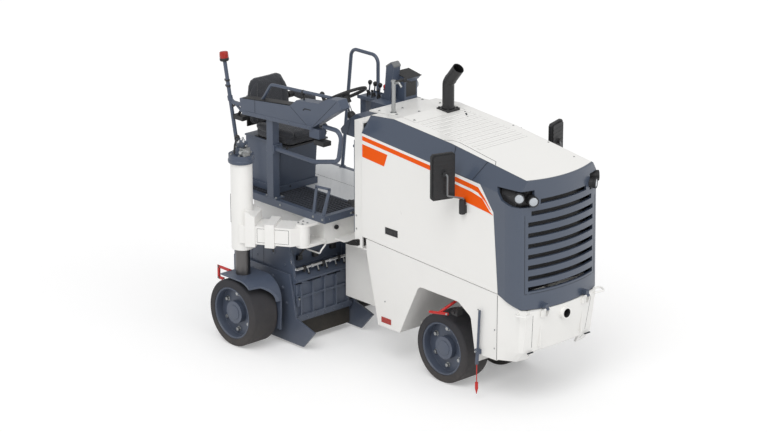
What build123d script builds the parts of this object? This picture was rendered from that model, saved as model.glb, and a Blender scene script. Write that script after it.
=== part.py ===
from build123d import *
import os
from math import atan2, cos, degrees, hypot, radians, sin

# Cold planer milling machine with a rear operator's stand, all sizes in millimetres.
# While it is built, x = 0 is the front axle (+X is the travel direction), y = 0 the centre plane
# (+Y is the left side) and z = 0 the ground. export_all() then moves the origin below the centre of its box.

# ---------------------------------------------------------------- driving dimensions
WHEELBASE = 1720
TYRE_D = 559
TYRE_W = 254
TYRE_WALL = 64.5         # solid rubber on the rim
RIM_D = TYRE_D - 2 * TYRE_WALL
RIM_WALL = 14
DISC_T = 22              # wheel disc
DISC_IN = 78             # disc behind the wheel's outer face
HUB_D = 184
HUB_IN = 26              # hub cap behind the wheel's outer face
SPINDLE_D = 80
MOTOR_D = 210            # wheel motor behind the disc
FIT = 0.08               # radial running clearance of shafts and pins
SEAT_GAP = 0.3           # between a turning face and its seat
GAP = 6                  # seam between panels that move against each other

FRONT_MID = 285          # mid-plane of a front wheel, from the centre plane
KINGPIN_Y = 135
KINGPIN_D = 40

AXLE_PIN_D = 40
AXLE_RISE = 130          # pendulum pin above the wheels' centres
BODY_HALF = 452          # outer face of the side panels
PANEL_T = 25
SEAM_REAR_Z = 990        # seam between hood and side panels, at the hood's rear edge
SEAM_FRONT_Z = 912       # the same at the bumper
TAIL_X = -820
PANEL_FRONT_X = 645
PANEL_LOW_Z = 378
TAIL_LOW_Z = 303

HOOD_REAR_X = -870
HOOD_CORNER_Y = 406      # edge between the hood's side and its bowed front
HOOD_TOP_HALF = 352      # edge between the white top and the slate shoulder
LAMP_D = 78
RECESS_DEPTH = 40        # lamp recess, below the cowl's surface
RECESS_Y = 300           # its inner end, from the centre plane
LINER_T = 6
HOOD_WALL = 22
HINGE_X = 946
HINGE_Z = 818
HINGE_Y = 222
HINGE_PIN_D = 10
MIRROR_TURN = 17.5       # degrees, outer edge to the rear
DECK_HALF = 264
DECK_FRONT_X = -456
DECK_T = 12
SLOT_H = 37
SLOT_PITCH = 85
SLOT_LOW_Z = 985

ARM_PIVOT = (-1304, -690)
RIGHT_COLUMN_Y = -970
ARM_Z = (880, 1032)      # bottom and top of the swing arm
ARM_W = 200
ARM_PIN_D = 60
BOSS_D = 112
EAR_T = 22               # plates above and below the arm's pivot
COLUMN_D = 177
COLUMN_Z = (812, 1530)
CAP_Z = 1600
LEG_D = 119
LEG_TOP_Z = 1325
LEFT_COLUMN_Y = 325
LEFT_COLUMN_Z = (780, 1098)
LEFT_LEG_TOP_Z = 895
LEG_PLATE_Z = TYRE_D + 7  # underside of the plate that joins a leg to its wheel bracket
LEG_PLATE_T = 14
BRACKET_GAP = 8          # between a rear tyre and the bracket behind it
BRACKET_T = 24
FENDER_T = 12
FENDER_BEND = 192        # outer radius of the fender's front bend

DRUM_X = -1745
DRUM_Z = 362
DRUM_Y = (-660, -160)    # milling width 500
DRUM_D = 470
PICK_D = 620             # circle of the pick tips
PICK_ROWS = 3
PICKS_PER_ROW = 9
HOUSING_X = (-2130, -1390)
HOUSING_Y = (-715, -110)
HOUSING_LOW_Z = 150
HOUSING_WALL = 18
FRONT_RECESS = 80        # front wall behind the door's plane
PIPE_Z = 632             # spray water pipe over the door
PLATE_T = 18             # side plates
PLATE_GAP = 5            # between side plate and housing
PLATE_LIFT = 190

FRAME_Z = (840, 1055)    # rear cross box of the chassis
LUG_REACH = 48           # conveyor pin behind the cross box
LUG_Z = 945
LUG_BORE_D = 32
TOW_BORE_D = 70
TOW_Z = 731
TOW_FACE_X = 944
FLOOR_Z = 1115           # top of the operator's floor
FLOOR_H = 60
FLOOR_X = (-2290, -1165)
FLOOR_Y = (-585, 440)
GRATING_LEFT_Y = -170
SEAT_BACK_W = 420
TUBE_D = 30              # handrails
GRAB_D = 36
SEAT_Y = -250            # middle of the seat
SEAT_Z = 1540            # top of the seat's box
CONSOLE_Y = (-600, -505)
EXHAUST_AT = (-530, 160)
EXHAUST_D = 95
EXHAUST_BORE_D = 85
EXHAUST_H = 215          # upright part, above the deck
BEACON_FOOT = (-2195, -555)
BEACON_TOP = (-2350, -600, 2165)
BEACON_D = 78
BEACON_H = 85
LEVERS = 4
LEVER_PITCH = 60
DOOR_RIBS = 5
DOOR_RIB_PITCH = 126
DOOR_Z = (190, 515)

parts = {}               # node name -> shape


# ---------------------------------------------------------------- helpers
def box(x0, x1, y0, y1, z0, z1):
    centre = ((x0 + x1) / 2, (y0 + y1) / 2, (z0 + z1) / 2)
    return Pos(*centre) * Box(abs(x1 - x0), abs(y1 - y0), abs(z1 - z0))


def face(points):
    return make_face(Polyline(*points, close=True))


def extrude_xz(shape, y0, y1):
    """Flat (x, z) shape made solid from y0 to y1."""
    return extrude(Pos(0, y1, 0) * (Plane.XZ * shape), amount=y1 - y0)


def prism_xz(points, y0, y1):
    return extrude_xz(face(points), y0, y1)


def prism_yz(points, x0, x1):
    return extrude(Pos(x0, 0, 0) * (Plane.YZ * face(points)), amount=x1 - x0)


def prism_xy(points, z0, z1):
    return extrude(Pos(0, 0, z0) * face(points), amount=z1 - z0)


def cyl(p0, p1, d):
    """Cylinder of diameter d between two points."""
    axis = Vector(*p1) - Vector(*p0)
    return extrude(Plane(origin=p0, z_dir=axis) * Circle(d / 2), amount=axis.length)


def tube(points, d, bend):
    """Round bar along straight runs joined by arcs of radius bend."""
    path = FilletPolyline(*points, radius=bend) if len(points) > 2 else Line(*points)
    section = Plane(origin=path @ 0, z_dir=path % 0) * Circle(d / 2)
    return sweep(section, path=path)


def seam_z(x):
    """Height of the seam under the hood's side at x."""
    share = (x - HOOD_REAR_X) / (PANEL_FRONT_X - HOOD_REAR_X)
    return SEAM_REAR_Z + (SEAM_FRONT_Z - SEAM_REAR_Z) * share


# ---------------------------------------------------------------- wheels
def rim(x, mid_y, out):
    """Dished rim; out is +1 where the outer face looks to +Y."""
    face_y = mid_y + out * TYRE_W / 2
    back_y = mid_y - out * TYRE_W / 2
    lip = out * 4
    ring = cyl((x, back_y + lip, TYRE_D / 2), (x, face_y - lip, TYRE_D / 2), RIM_D)
    bore = cyl((x, back_y, TYRE_D / 2), (x, face_y, TYRE_D / 2), RIM_D - 2 * RIM_WALL)
    disc = cyl((x, face_y - out * DISC_IN, TYRE_D / 2), (x, face_y - out * (DISC_IN + DISC_T), TYRE_D / 2),
               RIM_D - RIM_WALL)
    z = TYRE_D / 2
    hub = cyl((x, face_y - out * HUB_IN, z), (x, face_y - out * (DISC_IN + DISC_T), z), HUB_D)
    hole = cyl((x, face_y - out * (HUB_IN + 15), TYRE_D / 2), (x, back_y, TYRE_D / 2), SPINDLE_D + 2 * FIT)
    return (ring - bore) + disc + hub - hole


def tyre(x, mid_y):
    half = TYRE_W / 2
    solid = cyl((x, mid_y - half, TYRE_D / 2), (x, mid_y + half, TYRE_D / 2), TYRE_D)
    solid = fillet(solid.edges().filter_by(GeomType.CIRCLE), radius=20)
    return solid - cyl((x, mid_y - half, TYRE_D / 2), (x, mid_y + half, TYRE_D / 2), RIM_D)


def spindle(x, mid_y, out):
    """Wheel motor and spindle inside a rim, up to the disc."""
    face_y = mid_y + out * TYRE_W / 2
    disc_back = face_y - out * (DISC_IN + DISC_T + SEAT_GAP)
    motor = cyl((x, mid_y - out * (TYRE_W / 2 - 22), TYRE_D / 2), (x, disc_back, TYRE_D / 2), MOTOR_D)
    return motor + cyl((x, disc_back, TYRE_D / 2), (x, face_y - out * (HUB_IN + 17), TYRE_D / 2), SPINDLE_D)


def make_wheels():
    # name, x, mid-plane y, side the outer face looks to
    rows = [("front_right", 0, -FRONT_MID, -1), ("front_left", 0, FRONT_MID, 1),
            ("rear_right", -WHEELBASE, RIGHT_COLUMN_Y, -1), ("rear_left", -WHEELBASE, LEFT_COLUMN_Y, 1)]
    for name, x, mid_y, out in rows:
        parts[name + "_rim"] = rim(x, mid_y, out)
        parts[name + "_tyre"] = tyre(x, mid_y)


def make_front_axle():
    z = TYRE_D / 2
    beam = box(-50, 50, -95, 95, z - 80, z + 80) + cyl((-70, 0, z + 130), (70, 0, z + 130), 110)
    beam += box(-45, 45, -50, 50, z, z + 130)
    for side in (-1, 1):
        y = side * KINGPIN_Y
        for low, high in ((z - 150, z - 95), (z + 95, z + 150)):
            ear = box(-40, 40, side * 60, y, low, high) + cyl((0, y, low), (0, y, high), 80)
            beam += ear - cyl((0, y, low), (0, y, high), KINGPIN_D + 2 * FIT)
        beam += box(-40, 40, side * 60, side * 90, z - 150, z + 150)
    parts["front_axle"] = beam - cyl((-80, 0, z + 130), (80, 0, z + 130), 40)
    for side, name in ((-1, "front_knuckle_right"), (1, "front_knuckle_left")):
        y = side * KINGPIN_Y
        knuckle = cyl((0, y, z - 94.5), (0, y, z + 94.5), 72)
        knuckle += cyl((0, y, z - 160), (0, y, z + 160), KINGPIN_D)
        knuckle += box(-35, 35, y, side * (FRONT_MID - TYRE_W / 2 + 22), z - 60, z + 60)
        parts[name] = knuckle + spindle(0, side * FRONT_MID, side)


# ---------------------------------------------------------------- chassis and lower body
def arch_face():
    """Wheel arch as an (x, z) outline that is open at the bottom."""
    points = [(-430, 200), (-430, TAIL_LOW_Z), (-216, 748), (225, 741), (360, 655), (410, PANEL_LOW_Z - 4),
              (410, 200)]
    return fillet(face(points).vertices().filter_by_position(Axis.Y, 600, 800), radius=55)


def make_chassis():
    wall = 15
    inner = BODY_HALF - PANEL_T
    arch = arch_face()
    ring = offset(arch, amount=wall, kind=Kind.INTERSECTION) - arch
    ring -= Pos(0, 100) * Rectangle(2000, 2 * TAIL_LOW_Z - 200)
    well = extrude_xz(ring, -inner, inner)
    for side in (-1, 1):
        well += box(380, PANEL_FRONT_X, side * 220, side * (220 + wall), 480, 770)
    well -= extrude_xz(arch, -inner, inner)
    well += box(-15, 15, -inner, inner, 750, 880)
    # clevis of the pendulum axle
    z = TYRE_D / 2 + AXLE_RISE
    for x0, x1 in ((-100, -72), (72, 100)):
        well += box(x0, x1, -50, 50, z - 50, 760)
    well += cyl((-100, 0, z), (100, 0, z), AXLE_PIN_D - 2 * FIT)

    # long walls behind the wheel arch, their floor and the plate under the engine
    front_x = -1215          # front face of the cross box
    frame = box(front_x, 420, -inner, inner, 878, 890)
    for side in (-1, 1):
        frame += box(front_x, -400, side * 220, side * (220 + wall), 330, 890)
        frame += box(front_x - 85, front_x, side * 220, side * (220 + wall), 330, FRAME_Z[0])
    frame += box(-880, -420, -235, 235, 330, 330 + wall)
    parts["wheel_well"] = well - frame
    # cross box over the milling unit, with the column of the left leg
    low, high = FRAME_Z
    plan = [(front_x, -235), (-1262, -500), (HOUSING_X[0], -500), (HOUSING_X[0], 460), (-1500, 460),
            (front_x, 235)]
    hollow = [(x + (18 if x < -1600 else -18), y * 0.93) for x, y in plan]
    rear = prism_xy(plan, low, high) - prism_xy(hollow, low + 15, high - 15)
    # ears of the swing arm
    px, py = ARM_PIVOT
    for z0, z1 in ((ARM_Z[0] - EAR_T, ARM_Z[0] - SEAT_GAP), (ARM_Z[1] + SEAT_GAP, high)):
        outline = [(px - 52, py), (px - 130, -490), (px + 60, -490), (px + 60, py)]
        rear += prism_xy(outline, z0, z1) + cyl((px, py, z0), (px, py, z1), BOSS_D)
    rear += cyl((px, py, ARM_Z[0] - EAR_T), (px, py, high), ARM_PIN_D)
    x, y = -WHEELBASE, LEFT_COLUMN_Y
    foot, top = LEFT_COLUMN_Z
    rear += cyl((x, y, foot), (x, y, top), COLUMN_D)
    rear -= cyl((x, y, foot), (x, y, top - 10), LEG_D + 2 * FIT)
    # lugs for a discharge conveyor's hinge pin
    x = HOUSING_X[0]
    for side in (-1, 1):
        outline = [(x, low + 25), (x - 55, 915), (x - 75, 935), (x - 75, 960), (x - 55, 975), (x, high - 25)]
        rear += prism_xz(outline, side * 130 - 10, side * 130 + 10)
    rear -= cyl((x - LUG_REACH, -150, LUG_Z), (x - LUG_REACH, 150, LUG_Z), LUG_BORE_D)
    parts["chassis_frame"] = frame
    parts["rear_cross_box"] = rear

    side = [(TAIL_X, seam_z(TAIL_X)), (PANEL_FRONT_X, seam_z(PANEL_FRONT_X)), (PANEL_FRONT_X, PANEL_LOW_Z),
            (0, PANEL_LOW_Z - 10), (-430, TAIL_LOW_Z), (-680, TAIL_LOW_Z), (-815, 873)]
    right = prism_xz(side, -BODY_HALF, -inner) - extrude_xz(arch, -BODY_HALF - 10, -inner + 10)
    left = prism_xz(side, inner, BODY_HALF) - extrude_xz(arch, inner - 10, BODY_HALF + 10)
    parts["side_panels"] = right + left


# height, plan corner beside the front, plan corner of the front, and the middle of the bowed front
BUMPER_STATIONS = [(380, (735, 400), (776, 376), 800), (470, (815, 395), (842, 372), 872),
                   (925, (850, 411), (903, 374), 938)]


def bumper_volume(inset):
    """Bumper body with a bowed front that pulls in at the bottom, inset on every side."""
    sections = []
    for z, (ax, ay), (bx, by), middle in BUMPER_STATIONS:
        half = BODY_HALF - inset
        a = (ax - inset, ay - inset / 2)
        b = (bx - inset, by - inset / 2)
        bow = ThreePointArc((b[0], -b[1]), (middle - inset, 0), (b[0], b[1]))
        left = Polyline((b[0], b[1]), a, (PANEL_FRONT_X, half))
        right = Polyline((PANEL_FRONT_X, -half), (a[0], -a[1]), (b[0], -b[1]))
        back = Line((PANEL_FRONT_X, half), (PANEL_FRONT_X, -half))
        sections.append(Pos(0, 0, z) * make_face([right, bow, left, back]))
    side = [(PANEL_FRONT_X, 386), (1000, 386), (1000, 790 + inset), (850 - inset, 822 + inset),
            (PANEL_FRONT_X, SEAM_FRONT_Z + inset)]
    return loft(sections, ruled=True) & prism_xz(side, -BODY_HALF, BODY_HALF)


def make_bumper():
    body = bumper_volume(0) - bumper_volume(20)
    cut = [(-300, 300), (-230, 462), (230, 462), (300, 300)]
    body -= prism_yz(cut, 600, 1000)
    for side in (-1, 1):
        body += box(PANEL_FRONT_X, 890, side * 220, side * 235, 500, 760)
    body += cyl((860, 0, TOW_Z), (TOW_FACE_X, 0, TOW_Z), TOW_BORE_D + 26)
    body -= cyl((700, 0, TOW_Z), (1000, 0, TOW_Z), TOW_BORE_D)
    for side in (-1, 1):
        loop = [(825, side * 400, 800), (850, side * 474, 800), (922, side * 436, 800),
                (900, side * 352, 796)]
        body += tube(loop, 16, 18)
        for y in (side * HINGE_Y - 22, side * HINGE_Y + 22):
            outline = [(-40, -66), (-40, -22), (-8, 6), (8, 2), (2, -36), (-12, -66)]
            ear = prism_xz([(HINGE_X + x, HINGE_Z + z) for x, z in outline], y - 5, y + 5)
            body += ear + cyl((HINGE_X, y - 5, HINGE_Z), (HINGE_X, y + 5, HINGE_Z), 20)
        y0, y1 = side * HINGE_Y - 27, side * HINGE_Y + 27
        body += cyl((HINGE_X, y0, HINGE_Z), (HINGE_X, y1, HINGE_Z), HINGE_PIN_D)
    parts["front_bumper"] = body


# ---------------------------------------------------------------- hood
# x, height of the fold between side and shoulder, height of the top
HOOD_STATIONS = [(-900, 1853, 1973), (-606, 1836, 2000), (40, 1780, 1947), (950, 1690, 1822)]


def hood_plan(inset, corner_x, front_x):
    """Plan outline of the hood: straight sides, round corners and a bowed front."""
    half = BODY_HALF - inset
    corner = (corner_x - inset, -(HOOD_CORNER_Y - inset * 0.6))
    bend_x = corner_x - 170
    mid = (corner_x - 62 - inset / 2, -(half - 14))
    side = Line((-1100, -half), (bend_x, -half))
    bend = ThreePointArc((bend_x, -half), mid, corner)
    bow = ThreePointArc(corner, (front_x - inset, 0), (corner[0], -corner[1]))
    back = ThreePointArc((corner[0], -corner[1]), (mid[0], -mid[1]), (bend_x, half))
    rear = Line((-1100, half), (-1100, -half))
    return make_face([side, bend, bow, back, Line((bend_x, half), (-1100, half)), rear])


def hood_volume(inset):
    low = Pos(0, 0, 760) * hood_plan(inset, 852, 924)
    high = Pos(0, 0, 2100) * hood_plan(inset, 828, 900)
    block = loft([low, high])
    half = BODY_HALF - inset
    top = HOOD_TOP_HALF - inset * 0.4
    sections = []
    for x, fold, crest in HOOD_STATIONS:
        outline = [(-half, 700), (-half, fold - inset * 0.4), (-top, crest - inset), (top, crest - inset),
                   (half, fold - inset * 0.4), (half, 700)]
        sections.append(Pos(x, 0, 0) * (Plane.YZ * face(outline)))
    return block & loft(sections, ruled=True)


def make_hood():
    edge = seam_z(PANEL_FRONT_X)
    above = [(HOOD_REAR_X, seam_z(HOOD_REAR_X) + GAP), (PANEL_FRONT_X, edge + GAP), (850, 822 + GAP),
             (1000, 790 + GAP), (1000, 2100), (HOOD_REAR_X, 2100)]
    inner = hood_volume(HOOD_WALL)
    shell = (hood_volume(0) & prism_xz(above, -600, 600)) - inner
    opening = box(-1000, DECK_FRONT_X + GAP, -DECK_HALF - GAP, DECK_HALF + GAP, 1880, 2100)
    shell -= opening

    roof = [(x, top) for x, fold, top in HOOD_STATIONS]
    skin = [(x, z + 20) for x, z in roof] + [(x, z - HOOD_WALL - 1) for x, z in reversed(roof)]
    lip = 832                # white top's front corners
    bow = ThreePointArc((lip, -HOOD_TOP_HALF), (lip + 60, 0), (lip, HOOD_TOP_HALF))
    rear = Polyline((lip, HOOD_TOP_HALF), (-900, HOOD_TOP_HALF), (-900, -HOOD_TOP_HALF),
                    (lip, -HOOD_TOP_HALF))
    plan = make_face([bow, rear])
    top_region = extrude(Pos(0, 0, 1600) * plan, amount=600) & prism_xz(skin, -HOOD_TOP_HALF, HOOD_TOP_HALF)
    # lower edge of the slate band, along the fold and down beside the grille
    band = [(-950, 1857), (446, 1741), (590, 1552), (PANEL_FRONT_X, 930), (PANEL_FRONT_X, 700), (1000, 700),
            (1000, 2200), (-950, 2200)]
    band_region = prism_xz(band, -600, 600)

    parts["hood_top"] = shell & top_region
    cowl = (shell & band_region) - top_region
    z = SLOT_LOW_Z
    # half width of each slot from the lowest up
    for half in [350] * 7 + [325, 247]:
        cowl -= box(730, 1000, -half, half, z - SLOT_H / 2, z + SLOT_H / 2)
        z += SLOT_PITCH
    screen = box(776, 784, -420, 420, 930, 1715) & inner
    # wedge-shaped recess round the lamps at each front corner
    wedge = [(604, 1756), (668, 1668), (760, 1636), (1000, 1628), (1000, 1762)]
    pocket = [(588, 1762), (664, 1662), (758, 1630), (1000, 1622), (1000, 1768)]
    lamp_hood = hood_volume(RECESS_DEPTH)
    recess = Part()
    liner = Part()
    for side in (-1, 1):
        y0, y1 = sorted((side * RECESS_Y, side * 500))
        recess += prism_xz(wedge, y0, y1) - lamp_hood
        y0, y1 = sorted((side * (RECESS_Y - LINER_T), side * 500))
        liner += (prism_xz(pocket, y0, y1) & inner) - hood_volume(RECESS_DEPTH + LINER_T)
    cowl -= recess
    screen += liner - recess
    lamps = Part()
    # x, y and z of each right-hand lamp, and the way it faces in degrees from +X
    for x, y, lamp_z, turn in ((818, -408, 1712, -50), (874, -326, 1684, -30)):
        for side in (1, -1):
            centre = Vector(x, side * y, lamp_z)
            aim = Vector(cos(radians(turn)), side * sin(radians(turn)), 0)
            lamps += cyl(centre - aim * 56, centre + aim * 26, LAMP_D)
            opening = cyl(centre - aim * 56, centre + aim * 60, LAMP_D + 2 * SEAT_GAP)
            cowl -= opening
            screen -= opening
    parts["work_lamps"] = lamps
    for side in (-1, 1):
        y = side * HINGE_Y
        eye = cyl((HINGE_X, y - 16.5, HINGE_Z), (HINGE_X, y + 16.5, HINGE_Z), 20)
        eye += box(HINGE_X - 62, HINGE_X, y - 16.5, y + 16.5, HINGE_Z + 4, HINGE_Z + 40)
        cowl += eye - cyl((HINGE_X, y - 20, HINGE_Z), (HINGE_X, y + 20, HINGE_Z), HINGE_PIN_D + 2 * FIT)
    parts["hood_cowl"] = cowl
    sides = shell - band_region - top_region
    for side in (-1, 1):
        sides -= box(-602, -456, side * (BODY_HALF - 8), side * 500, 1085, 1143)
    parts["hood_sides"] = sides
    parts["grille_screen"] = screen

    mirrors = Part()
    for side in (-1, 1):
        foot = side * (BODY_HALF + 26)
        middle = side * (BODY_HALF + 162)
        head = Pos(211, middle, 1782) * Rot(0, 0, side * MIRROR_TURN) * Box(40, 198, 365)
        rod = tube([(222, middle, 1790), (262, middle, 1790), (262, middle, 1640), (300, foot, 1600),
                    (285, foot, 1560)], 14, 16)
        socket = cyl((285, foot, 1475), (285, foot, 1590), 52)
        bracket = box(262, 308, side * BODY_HALF, foot, 1480, 1540)
        mirrors += head + rod + socket + bracket
    parts["hood_mirrors"] = mirrors


def make_upper_body():
    parts["engine_block"] = box(-330, 400, -230, 230, 890, 1480)
    # bulkhead box with the fixed deck on it
    rear = HOOD_REAR_X - 95
    half = BODY_HALF - 12
    bulkhead = box(rear, HOOD_REAR_X - GAP, -half, half, 890, 1935)
    bulkhead -= box(rear + 14, HOOD_REAR_X, 14 - half, half - 14, 904, 1921)
    top = [(rear - 20, 1975), (-606, 2000), (DECK_FRONT_X, 1988)]
    roof = top + [(x, z - DECK_T) for x, z in reversed(top)]
    deck = prism_xz(roof, -DECK_HALF, DECK_HALF)
    for y in (-180, 0, 180):
        deck += prism_xz([(rear, 1890), (rear, 1970), (-620, 1992), (DECK_FRONT_X - 40, 1980)], y - 6, y + 6)
    parts["rear_deck"] = bulkhead + deck
    x, y = EXHAUST_AT
    foot = HOOD_STATIONS[1][2]
    bend_z = foot + EXHAUST_H
    pipe = box(x - 65, x + 65, y - 65, y + 65, foot - 12, foot + 8)
    pipe += tube([(x, y, foot), (x, y, bend_z), (x + 110, y, bend_z + 135)], EXHAUST_D, 60)
    pipe -= parts["rear_deck"]
    bore = tube([(x, y, foot + 50), (x, y, bend_z), (x + 130, y, bend_z + 159)], EXHAUST_BORE_D, 60)
    parts["exhaust_pipe"] = pipe - bore

    dash = box(-1190, rear - 20, -60, 300, 1905, 1965) + box(rear - 60, rear, -60, 300, 1880, 1963)
    display = prism_xz([(-1150, 1965), (-1085, 1965), (-1035, 2250), (-1060, 2284), (-1125, 2240)], 48, 120)
    dash += fillet(display.edges().filter_by(Axis.Y).group_by(Axis.Z)[-1], radius=14)
    parts["dashboard"] = dash
    x0, x1 = rear - 122, rear - 26
    lamp_box = box(x0, x1, 125, 262, 1965, 2128)
    lid = [(x0 - 16, 2128), (x1, 2128), (x1 + 30, 2158), (x0 - 16, 2184)]
    parts["lamp_box"] = lamp_box + prism_xz(lid, 121, 272)
    x, y = -769, -205
    post = cyl((x, y, 1980), (x, y, 2247), 32) - parts["rear_deck"]
    parts["clamp_post"] = post + tube([(x, y, 2225), (x + 60, y, 2245), (x + 90, y, 2215)], 18, 12)
    levers = box(-1480, -1190, 60, 240, 1905, 1925) + box(-1465, -1400, 80, 220, 1780, 1905)
    for i in range(LEVERS):
        x = -1440 + LEVER_PITCH * i
        levers += cyl((x, 150, 1920), (x + 15, 150, 2020), 12)
        levers += Pos(x + 16, 150, 2030) * Sphere(16)
    parts["lever_bank"] = levers

    facets = [(rear, 1930), (-1060, 1940), (-1150, 1880), (-1245, 1780), (-1230, 1745), (rear, 1742)]
    pod = prism_xz(facets, -335, -145)
    top = Vector(-1282, -240, 1985)
    slope = Vector(-0.5, 0, 0.866)
    foot = top - slope * 190
    pod -= cyl((foot.X, foot.Y, foot.Z), (top.X, top.Y, top.Z), 36)
    parts["steering_pod"] = pod
    end = top - slope * 22.2
    parts["steering_column"] = cyl((foot.X, foot.Y, foot.Z), (end.X, end.Y, end.Z), 36)
    plane = Plane(origin=(top.X, top.Y, top.Z), x_dir=(0, 1, 0), z_dir=(slope.X, 0, slope.Z))
    wheel = plane * (Pos(0, 0, 40) * Torus(178, 13))
    wheel += plane * (Pos(0, 0, 8) * Cylinder(38, 60))
    for turn in (90, 210, 330):
        tip = (172 * cos(radians(turn)), 172 * sin(radians(turn)), 40)
        wheel += plane * cyl((0, 0, 22), tip, 16)
    parts["steering_wheel"] = wheel


# ---------------------------------------------------------------- operator's stand
def make_stand():
    x0, x1 = FLOOR_X
    y0, y1 = FLOOR_Y
    low = FLOOR_Z - FLOOR_H
    rail = 50
    frame = box(x0, x1, y0, y1, low, FLOOR_Z)
    split = GRATING_LEFT_Y
    frame -= box(x0 + rail, x1 - rail, y0 + rail, split - 8, low - 5, FLOOR_Z + 5)
    frame -= box(x0 + rail, x1 - rail, split + 8, y1 - rail, low - 5, FLOOR_Z + 5)
    frame += box(x0 + rail, x1 - rail, y0 + rail, split - 8, low, low + 12)
    frame += box(x0 + rail, x1 - rail, split + 8, y1 - rail, low, FLOOR_Z - 10)
    grating = box(x0 + rail, x1 - rail, y0 + rail, split - 8, low + 12, FLOOR_Z - 4)
    parts["floor_grating"] = grating
    parts["chequer_plate"] = box(x0 + rail, x1 - rail, split + 8, y1 - rail, FLOOR_Z - 10, FLOOR_Z)
    x, y = -WHEELBASE, LEFT_COLUMN_Y
    column = cyl((x, y, low - 5), (x, y, FLOOR_Z - 10), COLUMN_D + 8)
    guard_y = y0 + 13
    guard = tube([(-1300, guard_y, low + 10), (-1262, guard_y, 1345), (-1106, guard_y, 1360),
                  (-1192, guard_y, low + 10)], 14, 12)
    parts["platform_frame"] = frame + guard - column
    outline = [(-1885, FLOOR_Z), (-1850, SEAT_Z), (x0 + 20, SEAT_Z), (x0 + 20, FLOOR_Z)]
    seat = prism_xz(outline, SEAT_Y - 205, SEAT_Y + 205)
    cushion = box(-2170, -1700, SEAT_Y - 235, SEAT_Y + 235, SEAT_Z, SEAT_Z + 120)
    parts["seat_cushion"] = fillet(cushion.edges().filter_by(Axis.Z), radius=50)
    back = Pos(-2235, SEAT_Y, SEAT_Z + 269) * Rot(0, -5, 0) * Box(88, SEAT_BACK_W, 400)
    parts["seat_back"] = back
    bracket = box(-2250, -2190, SEAT_Y - 80, SEAT_Y + 80, SEAT_Z - 10, SEAT_Z + 100)
    parts["seat_box"] = seat + (bracket - back)
    rest_y = SEAT_Y + 250
    rest = box(-2228, -1965, rest_y, rest_y + 62, SEAT_Z + 224, SEAT_Z + 294)
    rest += box(-2235, -2190, SEAT_Y + SEAT_BACK_W / 2, rest_y, SEAT_Z + 232, SEAT_Z + 282)
    parts["seat_armrest"] = rest

    panel = [(-2170, 1888), (-2157, 1774), (-1274, 1838), (-945, 2052), (-985, 2118), (-1100, 2106),
             (-1210, 2047), (-1470, 2018), (-1554, 1954)]
    y0, y1 = CONSOLE_Y
    console = prism_xz(panel, y0, y1)
    console += box(-1860, -1785, y0 + 17, y1 - 10, FLOOR_Z, 1830)
    y = (y0 + y1) / 2
    console += tube([(-1947, y, 1900), (-1830, y, 2063), (-1115, y, 2105)], 26, 60)
    console += tube([(-1200, y, 1852), (-985, y, 1852), (-1030, y, 1600), (-1316, y, 1533),
                     (-1830, y, 1535)], GRAB_D, 70)
    parts["side_console"] = console
    rail_y = 410
    feet = (-2050, -1610)
    rail = tube([(feet[0], rail_y, FLOOR_Z + 6), (-1930, rail_y, 2165), (feet[1], rail_y, 2165),
                 (feet[1], rail_y, FLOOR_Z + 6)], TUBE_D, 70)
    for x in feet:
        rail += cyl((x, rail_y, FLOOR_Z), (x, rail_y, FLOOR_Z + 10), 56)
    post = tube([(-985, -415, 1000), (-985, -415, 1760)], 20, 10)
    for z in (1250, 1710):
        post += box(-1000, HOOD_REAR_X - 95, -425, -405, z - 10, z + 10)
    parts["handrails"] = rail + post
    x, y = BEACON_FOOT
    pole = cyl((x, y, FLOOR_Z + 8), BEACON_TOP, 32)
    pole += cyl((x, y + 3, FLOOR_Z), (x, y + 3, FLOOR_Z + 14), 62)
    pole += box(x - 105, x + 25, y - 37, y - 12, 1815, 1840)
    parts["beacon_pole"] = pole
    x, y, z = BEACON_TOP
    parts["beacon_lamp"] = cyl((x - 2, y, z + 1), (x - 12, y, z + BEACON_H), BEACON_D)


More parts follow.
